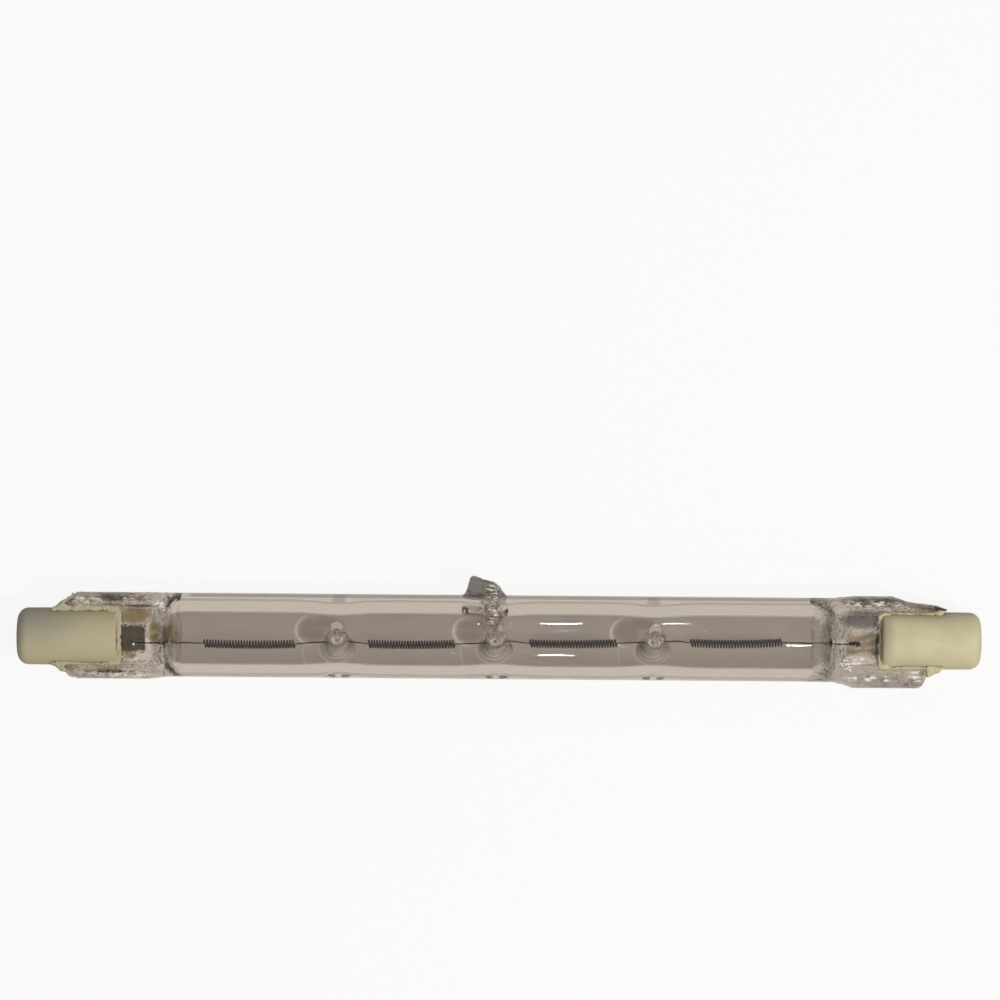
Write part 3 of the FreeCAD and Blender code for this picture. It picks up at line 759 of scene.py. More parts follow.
@dataclass(frozen=True)
class FiredClay:
    """Unglazed steatite or hardened cap cement: matt and dry, with a fine grain and faint warm stains. Its
    painted shades are darker soft ovals laid where shade falls on a cap, seen from above: the middle and
    reach along X and Y in millimetres, then the strength."""

    name: str
    colour: str
    stain: str
    grain_mm: float
    grain_depth_mm: float
    roughness: float = 0.7
    sheen: float = 0.35
    grain_strength: float = 0.6
    stain_mm: float = 3.0
    stain_levels: tuple[float, float] = (0.42, 0.72)
    smudge: str = "84806F"
    smudge_fade: tuple[float, float] = (0.2, 1.1)
    smudges: tuple[tuple[float, ...], ...] = ()

    def build(self) -> bpy.types.Material:
        """Make the material.

        Returns:
            The finished material.
        """
        material = blank_material(self.name)
        place = object_position(material)
        grain = add_node(material, "TexNoise", {"Scale": 1 / (self.grain_mm * MM), "Detail": 4.0,
                                                "Roughness": 0.65}, {"Vector": place})
        stain = add_node(material, "TexNoise", {"Scale": 1 / (self.stain_mm * MM), "Detail": 3.0},
                         {"Vector": place})
        spread = add_node(material, "MapRange",
                          {"From Min": self.stain_levels[0], "From Max": self.stain_levels[1]},
                          {"Value": stain.outputs["Fac"]})
        colour = add_node(material, "Mix",
                          {"data_type": "RGBA", 6: linear(self.colour), 7: linear(self.stain)},
                          {0: spread.outputs["Result"]}).outputs[2]
        # Painted shade on the caps' shaded ends and edges.
        colour = paint_over(material, colour, (
            (join_values(material, "MULTIPLY", patch(material, place, oval, *self.smudge_fade), strength),
             self.smudge) for *oval, strength in self.smudges))
        bump = add_node(material, "Bump",
                        {"Strength": self.grain_strength, "Distance": self.grain_depth_mm * MM},
                        {"Height": grain.outputs["Fac"]})
        clay = add_node(material, "BsdfPrincipled",
                        {"Roughness": self.roughness, "Specular IOR Level": self.sheen},
                        {"Base Color": colour, "Normal": bump.outputs["Normal"]})
        add_node(material, "OutputMaterial", links={"Surface": clay.outputs[0]})
        return material


# The glass


@dataclass
class Envelope:
    """The quartz envelope: a drawn tube with dimples and a sealed exhaust tip, pressed at both
    ends into seals with a thin web between two ridges. Sizes are millimetres. Edges are pairs of
    a distance from the middle along X and the seal's reach there."""

    tube_radius: float = 5.15
    bore_radius: float = 3.3
    bore_drop: float = 0.25
    around: int = 168
    crowding: float = 0.5
    bore_around: int = 96
    coarse_step: float = 0.7
    end_step: float = 0.2
    fine_step: float = 0.12
    end_margin: float = 0.6
    dimple_margin: float = 2.4
    tip_margin: float = 2.9
    seal_half: float = 2.2
    web_half: float = 1.3
    ridge_corner: float = 1.1
    ridge_power: float = 2.4
    left_channels: tuple[float, float] = (3.8, 4.1)
    right_channels: tuple[float, float] = (3.7, 3.85)
    channel_slope: float = 0.8
    channel_run: tuple[float, float] = (0.3, 2.2)
    left_press: float = 39.2
    right_press: float = 38.2
    press_end: float = 0.4
    left_start: float = 40.6
    right_start: float = 41.0
    left_end: float = 53.3
    right_end: float = 54.6
    left_top: tuple[tuple[float, float], ...] = ((51.8, 5.15), (53.3, 3.65))
    left_bottom: tuple[tuple[float, float], ...] = (
        (40.6, 5.15), (43.0, 5.45), (51.8, 5.45), (53.3, 3.95))
    right_top: tuple[tuple[float, float], ...] = (
        (41.0, 5.15), (43.4, 5.4), (48.2, 5.4), (50.1, 4.75), (53.7, 4.3), (54.6, 3.95))
    right_bottom: tuple[tuple[float, float], ...] = (
        (41.0, 5.15), (43.4, 5.85), (51.4, 5.85), (51.9, 5.6), (52.2, 5.1), (52.35, 3.7), (53.2, 3.3),
        (53.3, -3.6))
    closing_rings: tuple[tuple[float, float], ...] = ((0.0, 0.25), (0.5, 0.24), (0.85, 0.18), (0.96, 0.08))
    dimple_places: tuple[float, ...] = (-19.75, -0.35, 19.05)
    dimple_drop: float = 0.6
    dimple_tilt: float = 15.0
    dent_radii: tuple[float, float] = (0.95, 1.55)
    dent_depth: float = 2.5
    dome_radii: tuple[float, float] = (1.25, 2.15)
    dome_depth: float = 2.75
    dent_rings: float = 0.09
    ring_spacing: float = 0.5
    dent_lumps: float = 0.07
    dent_lump_size: float = 1 / 2.6
    dent_lump_margin: float = 0.6
    tip_place: float = -1.9
    tip_outline: tuple[tuple[float, float], ...] = (
        (-4.3, 0.0), (-4.1, 0.3), (-3.75, 1.3), (-3.4, 2.05), (-3.05, 2.38), (-2.6, 2.38), (-2.2, 2.2),
        (-1.6, 1.9), (-0.53, 1.6), (0.17, 1.05), (0.5, 0.4), (0.65, 0.0))
    tip_blur: float = 0.3
    tip_half_width: float = 1.75
    tip_full_height: float = 2.3
    tip_lean: float = 0.35
    melt_place: float = -0.75
    melt_reach: float = 1.1
    melt_lumps: float = 0.2
    press_lumps: float = 0.05
    bubble_x: tuple[float, float] = (-0.85, 0.62)
    bubble_sizes: tuple[float, float] = (0.1, 0.28)
    tip_bubbles: float = 0.4
    pocket_sizes: tuple[float, float] = (0.06, 0.13)
    pockets: tuple[tuple[float, ...], ...] = (
        (42.0, 47.6, 4.1, 5.0, 60), (44.0, 51.2, -5.4, -4.3, 50), (-50.8, -42.4, -5.0, -4.3, 50),
        (-50.8, -42.4, 4.1, 4.8, 30))
    bubble_count: int = 110
    bubble_seed: int = 7
    waist_depth: float = 0.27
    waist_reach: float = 3.0
    cavity_run: float = 1.6
    cavity_stops: tuple[float, float] = (0.1, 0.2)
    cavity_powers: tuple[float, float] = (2.4, 1.6)

    def stations(self, left: float, right: float) -> np.ndarray:
        """Choose places along X, close together where the form changes fast.

        Args:
            left: The first place.
            right: The last place.

        Returns:
            Rising places from left to right.
        """
        places = [left]
        while places[-1] < right:
            here = places[-1]
            near_dimple = any(abs(here - dimple) < self.dimple_margin for dimple in self.dimple_places)
            near_tip = abs(here - self.tip_place) < self.tip_margin
            step = self.fine_step if near_dimple or near_tip else self.coarse_step
            if abs(here) > self.right_press - self.end_margin:
                step = self.end_step
            places.append(min(here + step, right))
        return np.array(places)

    def seal_outline(self, top: float, bottom: float, channels: tuple[float, float],
                     channel: float) -> np.ndarray:
        """Draw a seal's section: two ridges with rounded sides and a thin web between.

        Args:
            top: The +Y edge.
            bottom: How far the other edge lies below the axis.
            channels: The web's edge towards +Y and towards -Y.
            channel: How far the channels are cut, from 0 to 1.

        Returns:
            Points (y, z) in order, from the +Y edge over the upper side.
        """
        middle, half = (top - bottom) / 2, (top + bottom) / 2
        across = np.cos(np.linspace(0, math.pi, 300))
        corner = min(self.ridge_corner, half * 0.9)
        edge = np.clip((np.abs(across) * half - (half - corner)) / corner, 0, 1)
        height = self.seal_half * (1 - edge ** self.ridge_power) ** (1 / self.ridge_power)
        y = middle + half * across
        inside = (ramp(y, -channels[1], -channels[1] + self.channel_slope)
                  * ramp(-y, -channels[0], -channels[0] + self.channel_slope))
        web = np.minimum(height, self.web_half)
        height = height + (web - height) * inside * channel
        upper = np.stack([y, height], axis=1)
        lower = np.stack([y[::-1], -height[::-1]], axis=1)[1:-1]
        return np.vstack([upper, lower])

    def seal_edges(self, place: float) -> tuple[float, float]:
        """Measure a seal at one place along X.

        Args:
            place: The place, on the left-hand seal where it is below zero.

        Returns:
            The seal's reach towards +Y and towards -Y.
        """
        top, bottom = (self.left_top, self.left_bottom) if place < 0 else (self.right_top, self.right_bottom)
        return (float(np.interp(abs(place), *zip(*top))), float(np.interp(abs(place), *zip(*bottom))))

    def outer_rings(self) -> np.ndarray:
        """Work out the outer skin, ring by ring.

        Returns:
            Points in millimetres by station and place round the ring.
        """
        places = self.stations(-self.left_end, self.right_end)
        angles = np.linspace(0, 2 * math.pi, 720, endpoint=False)
        circle = even_outline(self.tube_radius * np.stack([np.cos(angles), np.sin(angles)], axis=1),
                              self.around, self.crowding)
        rings = []
        for place in places:
            start = self.left_start if place < 0 else self.right_start
            press = self.left_press if place < 0 else self.right_press
            share = float(ramp(np.array(abs(place)), press, start + self.press_end))
            outline = circle
            if share > 0:
                top, bottom = self.seal_edges(place)
                channel = float(ramp(np.array(abs(place)), start + self.channel_run[0],
                                     start + self.channel_run[1]))
                channels = self.left_channels if place < 0 else self.right_channels
                seal = even_outline(self.seal_outline(top, bottom, channels, channel), self.around,
                                    self.crowding)
                outline = circle * (1 - share) + seal * share
            rings.append(np.column_stack([np.full(self.around, place), outline]))
        rings = self.closed_ends(np.array(rings))
        rings = self.with_dents(rings, self.dent_radii, self.dent_depth)
        return self.with_lumps(self.with_exhaust_tip(rings))

    def closed_ends(self, rings: np.ndarray) -> np.ndarray:
        """Add shrinking rings that round off and close both ends of a skin.

        Args:
            rings: The skin's points.

        Returns:
            The points with the closing rings at both ends.
        """
        first, last = [], []
        for scale, push in self.closing_rings:
            for ring, side, group in ((rings[0], -1, first), (rings[-1], 1, last)):
                middle = ring.mean(axis=0)
                smaller = middle + (ring - middle) * scale
                smaller[:, 0] += side * push
                group.append(smaller)
        return np.vstack([np.array(first), rings, np.array(last[::-1])])

    def with_dents(self, rings: np.ndarray, radii: tuple[float, float], depth: float) -> np.ndarray:
        """Push the wall in from both sides at each dimple.

        Args:
            rings: The skin's points.
            radii: How wide the upper and the lower dent are.
            depth: How deep each dent is.

        Returns:
            The dented points.
        """
        tilt = math.radians(self.dimple_tilt)
        axis = np.array([0.0, math.sin(tilt), math.cos(tilt)])
        for place in self.dimple_places:
            offset = rings - np.array([place, -self.dimple_drop, 0.0])
            along = offset @ axis
            away = np.linalg.norm(offset - along[..., None] * axis, axis=-1)
            radius = np.where(along > 0, radii[0], radii[1])
            share = np.clip(1 - (away / radius) ** 2, 0, 1) ** 2
            share = share * (1 + self.dent_rings * np.cos(2 * math.pi * away / self.ring_spacing))
            lumps = np.zeros(share.shape)
            margin = radius + self.dent_lump_margin - away
            for index in zip(*np.nonzero(margin > 0)):
                lumps[index] = noise.noise(Vector(rings[index] / self.dent_lump_size))
            share = share + self.dent_lumps / depth * lumps * ramp(margin, 0.0, 0.5)
            rings = rings - axis * (np.sign(along) * depth * share)[..., None]
        return rings

    def with_exhaust_tip(self, rings: np.ndarray) -> np.ndarray:
        """Draw the glass out on the +Y side into the sealed exhaust stub.

        Args:
            rings: The skin's points.

        Returns:
            The points with the stub, whose outline is softened along X by averaging.
        """
        x, y, z = rings[..., 0], rings[..., 1], rings[..., 2]
        shifts = np.linspace(-self.tip_blur, self.tip_blur, 7)
        height = sum(np.interp(x + shift, *zip(*self.tip_outline)) for shift in shifts) / len(shifts)
        side = np.exp(-np.abs(z / self.tip_half_width) ** 4)
        rise = height * side * (y > 0)
        lean = -self.tip_lean * np.clip(rise / self.tip_full_height, 0, 1) ** 2
        return rings + np.stack([lean, rise, np.zeros_like(rise)], axis=-1)

    def with_lumps(self, rings: np.ndarray) -> np.ndarray:
        """Make the skin lumpy where the exhaust tube was melted on and where the jaws pressed.

        Args:
            rings: The skin's points.

        Returns:
            The points with the lumps.
        """
        x, y, z = rings[..., 0], rings[..., 1], rings[..., 2]
        near_tip = (np.exp(-((x - self.melt_place) / self.melt_reach) ** 2) * ramp(y, 0.8, 2.0)
                    * ramp(z, -1.5, 0.0))
        pressed = np.maximum(ramp(x, 37.5, 40.0), ramp(-x, 40.0, 41.0))
        amount = self.melt_lumps * near_tip + self.press_lumps * pressed
        middle = rings.mean(axis=1, keepdims=True)
        outward = rings - middle
        outward = outward / np.maximum(np.linalg.norm(outward, axis=-1, keepdims=True), 1e-6)
        lumps = np.zeros(x.shape)
        for index in zip(*np.nonzero(amount > 0.004)):
            spot = Vector(rings[index])
            lumps[index] = noise.noise(spot * 1.7) + 0.6 * noise.noise(spot * 3.4)
        return rings + outward * (lumps * amount)[..., None]

    @staticmethod
    def hollow(spot: tuple[float, float, float], radius: float, stretch: tuple[float, float, float],
               rough: bool = False) -> bpy.types.Object:
        """Make one small hollow in the glass, whose faces look into the hollow.

        Args:
            spot: Its middle, in millimetres.
            radius: Its radius, in millimetres.
            stretch: How far it is drawn out along X, Y and Z.
            rough: Make it with few faces.

        Returns:
            The hollow's object.
        """
        deselect_all()
        bpy.ops.mesh.primitive_ico_sphere_add(subdivisions=1 if rough else 2, radius=radius * MM,
                                              location=[value * MM for value in spot])
        piece = bpy.context.object
        piece.scale = stretch
        settle(piece)
        piece.data.flip_normals()
        smooth_piece(piece)
        return piece

    def hollows(self) -> list[bpy.types.Object]:
        """Blow bubbles into the glass where the exhaust tube was melted on, and trap drawn-out
        ones in the pressed ridges.

        Returns:
            One object for each hollow.
        """
        chance = random.Random(self.bubble_seed)
        pieces = []
        for index in range(self.bubble_count):
            x = chance.gauss(*self.bubble_x)
            if index < self.bubble_count * self.tip_bubbles:
                y, z = chance.uniform(4.7, 6.3), chance.uniform(-0.5, 0.9)
                x = min(x, -0.1)
            else:
                angle, radius = math.radians(chance.uniform(24, 75)), chance.uniform(3.95, 4.7)
                y, z = radius * math.sin(angle), radius * math.cos(angle)
            pieces.append(self.hollow((x, y, z), chance.uniform(*self.bubble_sizes),
                                      (1.0, chance.uniform(0.8, 1.4), 1.0)))
        for left, right, low, high, count in self.pockets:
            for _ in range(int(count)):
                spot = (chance.uniform(left, right), chance.uniform(low, high), chance.uniform(0.2, 1.3))
                pieces.append(self.hollow(spot, chance.uniform(*self.pocket_sizes),
                                          (chance.uniform(1.2, 4.0), 1.0, 0.8), rough=True))
        return pieces

    def bore_rings(self) -> np.ndarray:
        """Work out the wall of the gas cavity, ring by ring.

        Returns:
            Points in millimetres by station and place round the ring.
        """
        left, right = self.left_start - self.cavity_stops[0], self.right_start - self.cavity_stops[1]
        places = self.stations(-left, right)
        angles = np.linspace(0, 2 * math.pi, self.bore_around, endpoint=False)
        rings = []
        for place in places:
            end = left if place < 0 else right
            near_end = np.clip((abs(place) - (end - self.cavity_run)) / self.cavity_run, 0, 1)
            wide, tall = (self.bore_radius * math.sqrt(max(1 - near_end ** power, 0.0))
                          for power in self.cavity_powers)
            pinch = sum(math.exp(-((place - dimple) / self.waist_reach) ** 2)
                        for dimple in self.dimple_places)
            narrow = 1 - self.waist_depth * pinch / self.bore_radius
            ring = np.stack([np.full_like(angles, place), wide * narrow * np.cos(angles) - self.bore_drop,
                             tall * narrow * np.sin(angles)], axis=1)
            rings.append(ring)
        return self.with_dents(np.array(rings), self.dome_radii, self.dome_depth)

    def build(self, quartz: bpy.types.Material, front: bpy.types.Material,
              back: bpy.types.Material) -> bpy.types.Object:
        """Make the glass body from its outer skin and its cavity.

        Args:
            quartz: The finish of the outer skin.
            front: The finish of the cavity's upper half.
            back: The finish of the cavity's lower half.

        Returns:
            The envelope's object.
        """
        skin = rolled_sheet("quartz_glass", self.outer_rings())
        cavity = rolled_sheet("gas_cavity", self.bore_rings(), inward=True)
        skin.data.materials.append(quartz)
        for finish in (front, back):
            cavity.data.materials.append(finish)
        for face in cavity.data.polygons:
            face.material_index = 0 if face.center.z > 0 else 1
        hollows = self.hollows()
        for hollow in hollows:
            hollow.data.materials.append(quartz)
        activate(skin)
        for hollow in [cavity, *hollows]:
            hollow.select_set(True)
        bpy.ops.object.join()
        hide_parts("quartz_envelope")
        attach(skin, BODY)
        LOG.info("quartz envelope: %d faces", len(skin.data.polygons))
        return skin


# The filament


@dataclass
class Filament:
    """One tungsten wire: four coils, the straight spans between them and both tails.
    Sizes are millimetres."""

    wire_radius: float = 0.088
    coil_radius: float = 0.46
    pitch: float = 0.35
    sides: int = 16
    tail_height: float = 0.17
    spare_radius: float = 0.32
    spare_height: float = 0.56
    coils: tuple[tuple[float, ...], ...] = (
        (-36.2, -25.0, 0.93, 1.05, 0.92),
        (-16.1, -5.4, 0.84, 0.92, 0.78),
        (3.7, 14.5, 0.62, 0.68, 0.50),
        (23.4, 34.7, 0.40, 0.50, 0.25),
    )
    left_tail: tuple[tuple[float, float], ...] = ((-45.2, 1.05), (-41.4, 1.05), (-38.6, 0.86))
    spans: tuple[tuple[tuple[float, float], ...], ...] = (
        ((-22.5, 0.70), (-18.9, 0.52)),
        ((-2.8, 0.68), (1.4, 0.36)),
        ((17.2, 0.38), (22.0, 0.20)),
    )
    right_tail: tuple[tuple[float, float], ...] = ((37.6, 0.30), (40.6, 0.50), (42.5, 0.50))
    spare_turns: tuple[float, float, float] = (42.9, 44.35, 0.5)

    def coil_points(self, first: float, last: float, drops: tuple[float, float, float],
                    radius: float, height: float) -> list[Vector]:
        """Wind a coil along X whose axis follows three drops.

        Args:
            first: Where the coil starts.
            last: Where it ends.
            drops: How far its axis lies below the tube's at its start, middle and end.
            radius: The coil's radius to the middle of the wire.
            height: How far the coil's axis lies above the seals' middle plane.

        Returns:
            Points along the wire.
        """
        turns = round((last - first) / self.pitch)
        start, middle, end = drops
        points = []
        for index in range(turns * self.sides + 1):
            share = index / (turns * self.sides)
            angle = 2 * math.pi * index / self.sides
            drop = (start * (1 - share) * (1 - 2 * share) + 4 * middle * share * (1 - share)
                    + end * share * (2 * share - 1))
            points.append(Vector((first + (last - first) * share, radius * math.sin(angle) - drop,
                                  height - radius * math.cos(angle))))
        return points

    def path(self) -> list[Vector]:
        """Lay out the whole wire.

        Returns:
            Points from the left-hand foil to the right-hand one.
        """
        points = [Vector((x, -drop, self.tail_height)) for x, drop in self.left_tail]
        for index, (first, last, *drops) in enumerate(self.coils):
            points += self.coil_points(first, last, tuple(drops), self.coil_radius, 0.0)
            if index < len(self.spans):
                points += [Vector((x, -drop, 0.0)) for x, drop in self.spans[index]]
        points += [Vector((x, -drop, self.tail_height)) for x, drop in self.right_tail]
        first, last, drop = self.spare_turns
        points += self.coil_points(first, last, (drop, drop, drop), self.spare_radius, self.spare_height)
        return points

    def build(self, finish: bpy.types.Material) -> bpy.types.Object:
        """Make the wire as a thin round tube along its path.

        Args:
            finish: The wire's finish.

        Returns:
            The filament's object.
        """
        path = self.path()
        curve = bpy.data.curves.new("coiled_filament", "CURVE")
        curve.dimensions = "3D"
        curve.bevel_depth = self.wire_radius * MM
        curve.bevel_resolution = 1
        curve.use_fill_caps = True
        spline = curve.splines.new("POLY")
        spline.points.add(len(path) - 1)
        for point, spot in zip(spline.points, path):
            point.co = (*(spot * MM), 1.0)
        piece = bpy.data.objects.new("coiled_filament", curve)
        bpy.context.collection.objects.link(piece)
        activate(piece)
        bpy.ops.object.convert(target="MESH")
        piece = bpy.context.object
        piece.data.materials.clear()
        piece.data.materials.append(finish)
        smooth_piece(piece)
        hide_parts("filament")
        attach(piece, BODY)
        LOG.info("filament: %d faces", len(piece.data.polygons))
        return piece


# The seals' metal


@dataclass
class SealFoil:
    """A molybdenum foil, feather-thin and wrinkled along its length where the hot glass
    closed on it. Sizes are millimetres."""

    side: Side
    thickness: float = 0.05
    cells: tuple[int, int] = (90, 48)
    wrinkle: float = 0.1
    wrinkle_width: float = 0.5
    wrinkle_stretch: tuple[float, float] = (0.12, 1.0)
    crease_share: float = 0.35
    crease_stretch: tuple[float, float] = (0.4, 2.3)
    crease_seed: float = 9.0

    def build(self, finish: bpy.types.Material) -> bpy.types.Object:
        """Make the foil in the place of its node.

        Args:
            finish: The foil's finish.

        Returns:
            The foil's object.
        """
        node = f"{self.side.label}_foil"
        low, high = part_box(node)
        deselect_all()
        bpy.ops.mesh.primitive_grid_add(x_subdivisions=self.cells[0], y_subdivisions=self.cells[1],
                                        size=1, location=(low + high) / 2)
        piece = bpy.context.object
        piece.name = f"{self.side.label}_wrinkled_foil"
        bpy.ops.transform.resize(value=((high.x - low.x), (high.y - low.y), 1))
        settle(piece)
        for vertex in piece.data.vertices:
            spot = vertex.co / (self.wrinkle_width * MM)
            rough, fine = (noise.noise(Vector((spot.x * along, spot.y * across, seed)))
                           for (along, across), seed in ((self.wrinkle_stretch, self.side.value * 3.0),
                                                         (self.crease_stretch, self.crease_seed)))
            vertex.co.z += (rough + self.crease_share * fine) * self.wrinkle * MM
        apply_modifier(piece, "SOLIDIFY", {"thickness": self.thickness * MM, "offset": 0.0})
        piece.data.materials.append(finish)
        smooth_piece(piece, 50)
        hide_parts(node)
        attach(piece, BODY)
        LOG.info("%s: %d faces", piece.name, len(piece.data.polygons))
        return piece


# Caps, contacts and cement


@dataclass
class CeramicCap:
    """A steatite cap: a cylinder rounded at both ends, slotted for the seal and recessed
    for the contact. Sizes are millimetres."""

    side: Side
    drop: float
    draft: float = 0.07
    leg_round: float = 0.5
    face_round: float = 1.35
    core: float = 4.8
    slot_height: float = 2.9
    recess_radius: float = 1.8
    recess_depth: float = 2.6
    cut_width: float = 12.0
    cut_margin: float = 2.0

    def build(self, finish: bpy.types.Material) -> bpy.types.Object:
        """Make the cap in the place of its node.

        Args:
            finish: The cap's finish.

        Returns:
            The cap's object.
        """
        node = f"{self.side.label}_ceramic_cap"
        low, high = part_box(node)
        middle = Vector(((low.x + high.x) / 2, -self.drop * MM, 0.0))
        radius, length = (high.y - low.y) / 2, high.x - low.x
        deselect_all()
        bpy.ops.mesh.primitive_cone_add(vertices=128, radius1=radius, radius2=radius - self.draft * MM,
                                        depth=length, location=middle,
                                        rotation=(0, math.pi / 2 * self.side.value, 0))
        piece = bpy.context.object
        piece.name = f"{self.side.label}_steatite_cap"
        settle(piece)
        self.round_ends(piece, middle.x)
        self.cut(piece, middle, length)
        piece.data.materials.append(finish)
        smooth_piece(piece, 40)
        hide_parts(node)
        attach(piece, BODY)
        LOG.info("%s: %d faces", piece.name, len(piece.data.polygons))
        return piece

    def round_ends(self, piece: bpy.types.Object, middle: float) -> None:
        """Round the cap's outer and inner ends.

        Args:
            piece: The plain cylinder.
            middle: The cylinder's middle along X, in metres.
        """
        reach = max(abs(vertex.co.x - middle) for vertex in piece.data.vertices)
        for outward, radius in ((self.side.value, self.face_round), (-self.side.value, self.leg_round)):
            select_where(piece, lambda spot, _: (spot.x - middle) * outward > reach - 1e-6)
            bpy.ops.object.mode_set(mode="EDIT")
            bpy.ops.mesh.bevel(offset=radius * MM, segments=10, profile=0.5)
            bpy.ops.object.mode_set(mode="OBJECT")

    def cut(self, piece: bpy.types.Object, middle: Vector, length: float) -> None:
        """Cut the slot that leaves two legs, and the contact's recess.

        Args:
            piece: The rounded cap.
            middle: The cap's middle, in metres.
            length: The cap's length, in metres.
        """
        direction = self.side.value
        slot_length = length - self.core * MM
        deselect_all()
        bpy.ops.mesh.primitive_cube_add(
            size=1, location=middle - Vector((direction * (self.core + self.cut_margin) * MM / 2, 0, 0)),
            scale=(slot_length + self.cut_margin * MM, self.cut_width * MM, self.slot_height * MM))
        slot = bpy.context.object
        settle(slot)
        deselect_all()
        face = middle.x + direction * length / 2
        bpy.ops.mesh.primitive_cylinder_add(
            vertices=96, radius=self.recess_radius * MM, depth=self.recess_depth * MM * 2,
            location=(face, middle.y, middle.z), rotation=(0, math.pi / 2, 0))
        recess = bpy.context.object
        settle(recess)
        for tool in (slot, recess):
            apply_modifier(piece, "BOOLEAN", {"operation": "DIFFERENCE", "object": tool,
                                              "solver": "EXACT"})
            bpy.data.objects.remove(tool)


@dataclass
class ContactButton:
    """The nickel-plated contact at the bottom of a cap's recess, stamped with a soft edge
    and a shallow crown. Each step of the stamp is how far it reaches in and how far it is
    pushed out, in millimetres."""

    side: Side
    stamp: tuple[tuple[float, float], ...] = ((0.2, 0.0), (0.5, -0.12), (0.4, 0.06))

    def build(self, finish: bpy.types.Material) -> bpy.types.Object:
        """Make the contact in the place of its node.

        Args:
            finish: The contact's finish.

        Returns:
            The contact's object.
        """
        node = f"{self.side.label}_contact"
        low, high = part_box(node)
        deselect_all()
        bpy.ops.mesh.primitive_cylinder_add(
            vertices=96, radius=(high.y - low.y) / 2, depth=high.x - low.x, location=(low + high) / 2,
            rotation=(0, math.pi / 2 * self.side.value, 0))
        piece = bpy.context.object
        piece.name = f"{self.side.label}_contact_button"
        settle(piece)
        select_where(piece, lambda _, normal: normal.x * self.side.value > 0.9)
        bpy.ops.object.mode_set(mode="EDIT")
        for reach, push in self.stamp:
            bpy.ops.mesh.inset(thickness=reach * MM, depth=push * MM)
        bpy.ops.object.mode_set(mode="OBJECT")
        piece.data.materials.append(finish)
        smooth_piece(piece, 35)
        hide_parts(node)
        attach(piece, BODY)
        LOG.info("%s: %d faces", piece.name, len(piece.data.polygons))
        return piece


@dataclass
class CementFill:
    """The cement that holds a cap: crumbly where it was pushed out of the slot.
    Sizes are millimetres."""

    side: Side
    grain: float = 0.11
    ragged: float = 0.22
    ragged_width: float = 0.7

    def build(self, finish: bpy.types.Material) -> bpy.types.Object:
        """Make the cement from a merged copy of its node.

        Args:
            finish: The cement's finish.

        Returns:
            The cement's object.
        """
        node = f"{self.side.label}_cement"
        source = bpy.data.objects[node]
        piece = source.copy()
        piece.data = source.data.copy()
        # The copy is a piece of its own, so it drops the marks that say it is a node.
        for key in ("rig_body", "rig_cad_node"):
            if key in piece:
                del piece[key]
        piece.parent = None
        piece.name = f"{self.side.label}_cement_fill"
        bpy.context.collection.objects.link(piece)
        activate(piece)
        bpy.ops.object.mode_set(mode="EDIT")
        bpy.ops.mesh.select_all(action="SELECT")
        bpy.ops.mesh.remove_doubles(threshold=1e-6)
        bpy.ops.object.mode_set(mode="OBJECT")
        apply_modifier(piece, "REMESH", {"mode": "VOXEL", "voxel_size": self.grain * MM})
        apply_modifier(piece, "SMOOTH", {"factor": 0.5, "iterations": 4})
        self.roughen(piece)
        piece.data.materials.clear()
        piece.data.materials.append(finish)
        smooth_piece(piece)
        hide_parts(node)
        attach(piece, BODY)
        LOG.info("%s: %d faces", piece.name, len(piece.data.polygons))
        return piece

    def roughen(self, piece: bpy.types.Object) -> None:
        """Push the skin in and out along its normals, as crumbly cement is.

        Args:
            piece: The smooth cement, which is changed in place.
        """
        count = len(piece.data.vertices)
        spots = np.empty(count * 3)
        normals = np.empty(count * 3)
        piece.data.vertices.foreach_get("co", spots)
        piece.data.vertices.foreach_get("normal", normals)
        spots = spots.reshape(-1, 3)
        lumps = [noise.noise(Vector(spot)) + 0.5 * noise.noise(Vector(spot * 2.7))
                 for spot in spots / (self.ragged_width * MM)]
        spots = spots + normals.reshape(-1, 3) * np.array(lumps)[:, None] * self.ragged * MM
        piece.data.vertices.foreach_set("co", spots.ravel())
        piece.data.update()


@dataclass
class OuterLead:
    """The wire from a foil to its contact. Its node is a plain round wire already, so it is
    only dressed."""

    side: Side

    def dress(self, nodes: dict[str, bpy.types.Object], finish: bpy.types.Material) -> bpy.types.Object:
        """Give the lead its finish.

        Args:
            nodes: The frame's nodes by name.
            finish: The lead's finish.

        Returns:
            The lead's own node.
        """
        lead = nodes[f"{self.side.label}_outer_lead"]
        lead.data.materials.clear()
        lead.data.materials.append(finish)
        LOG.info("%s: %d faces", lead.name, len(lead.data.polygons))
        return lead


# Stage


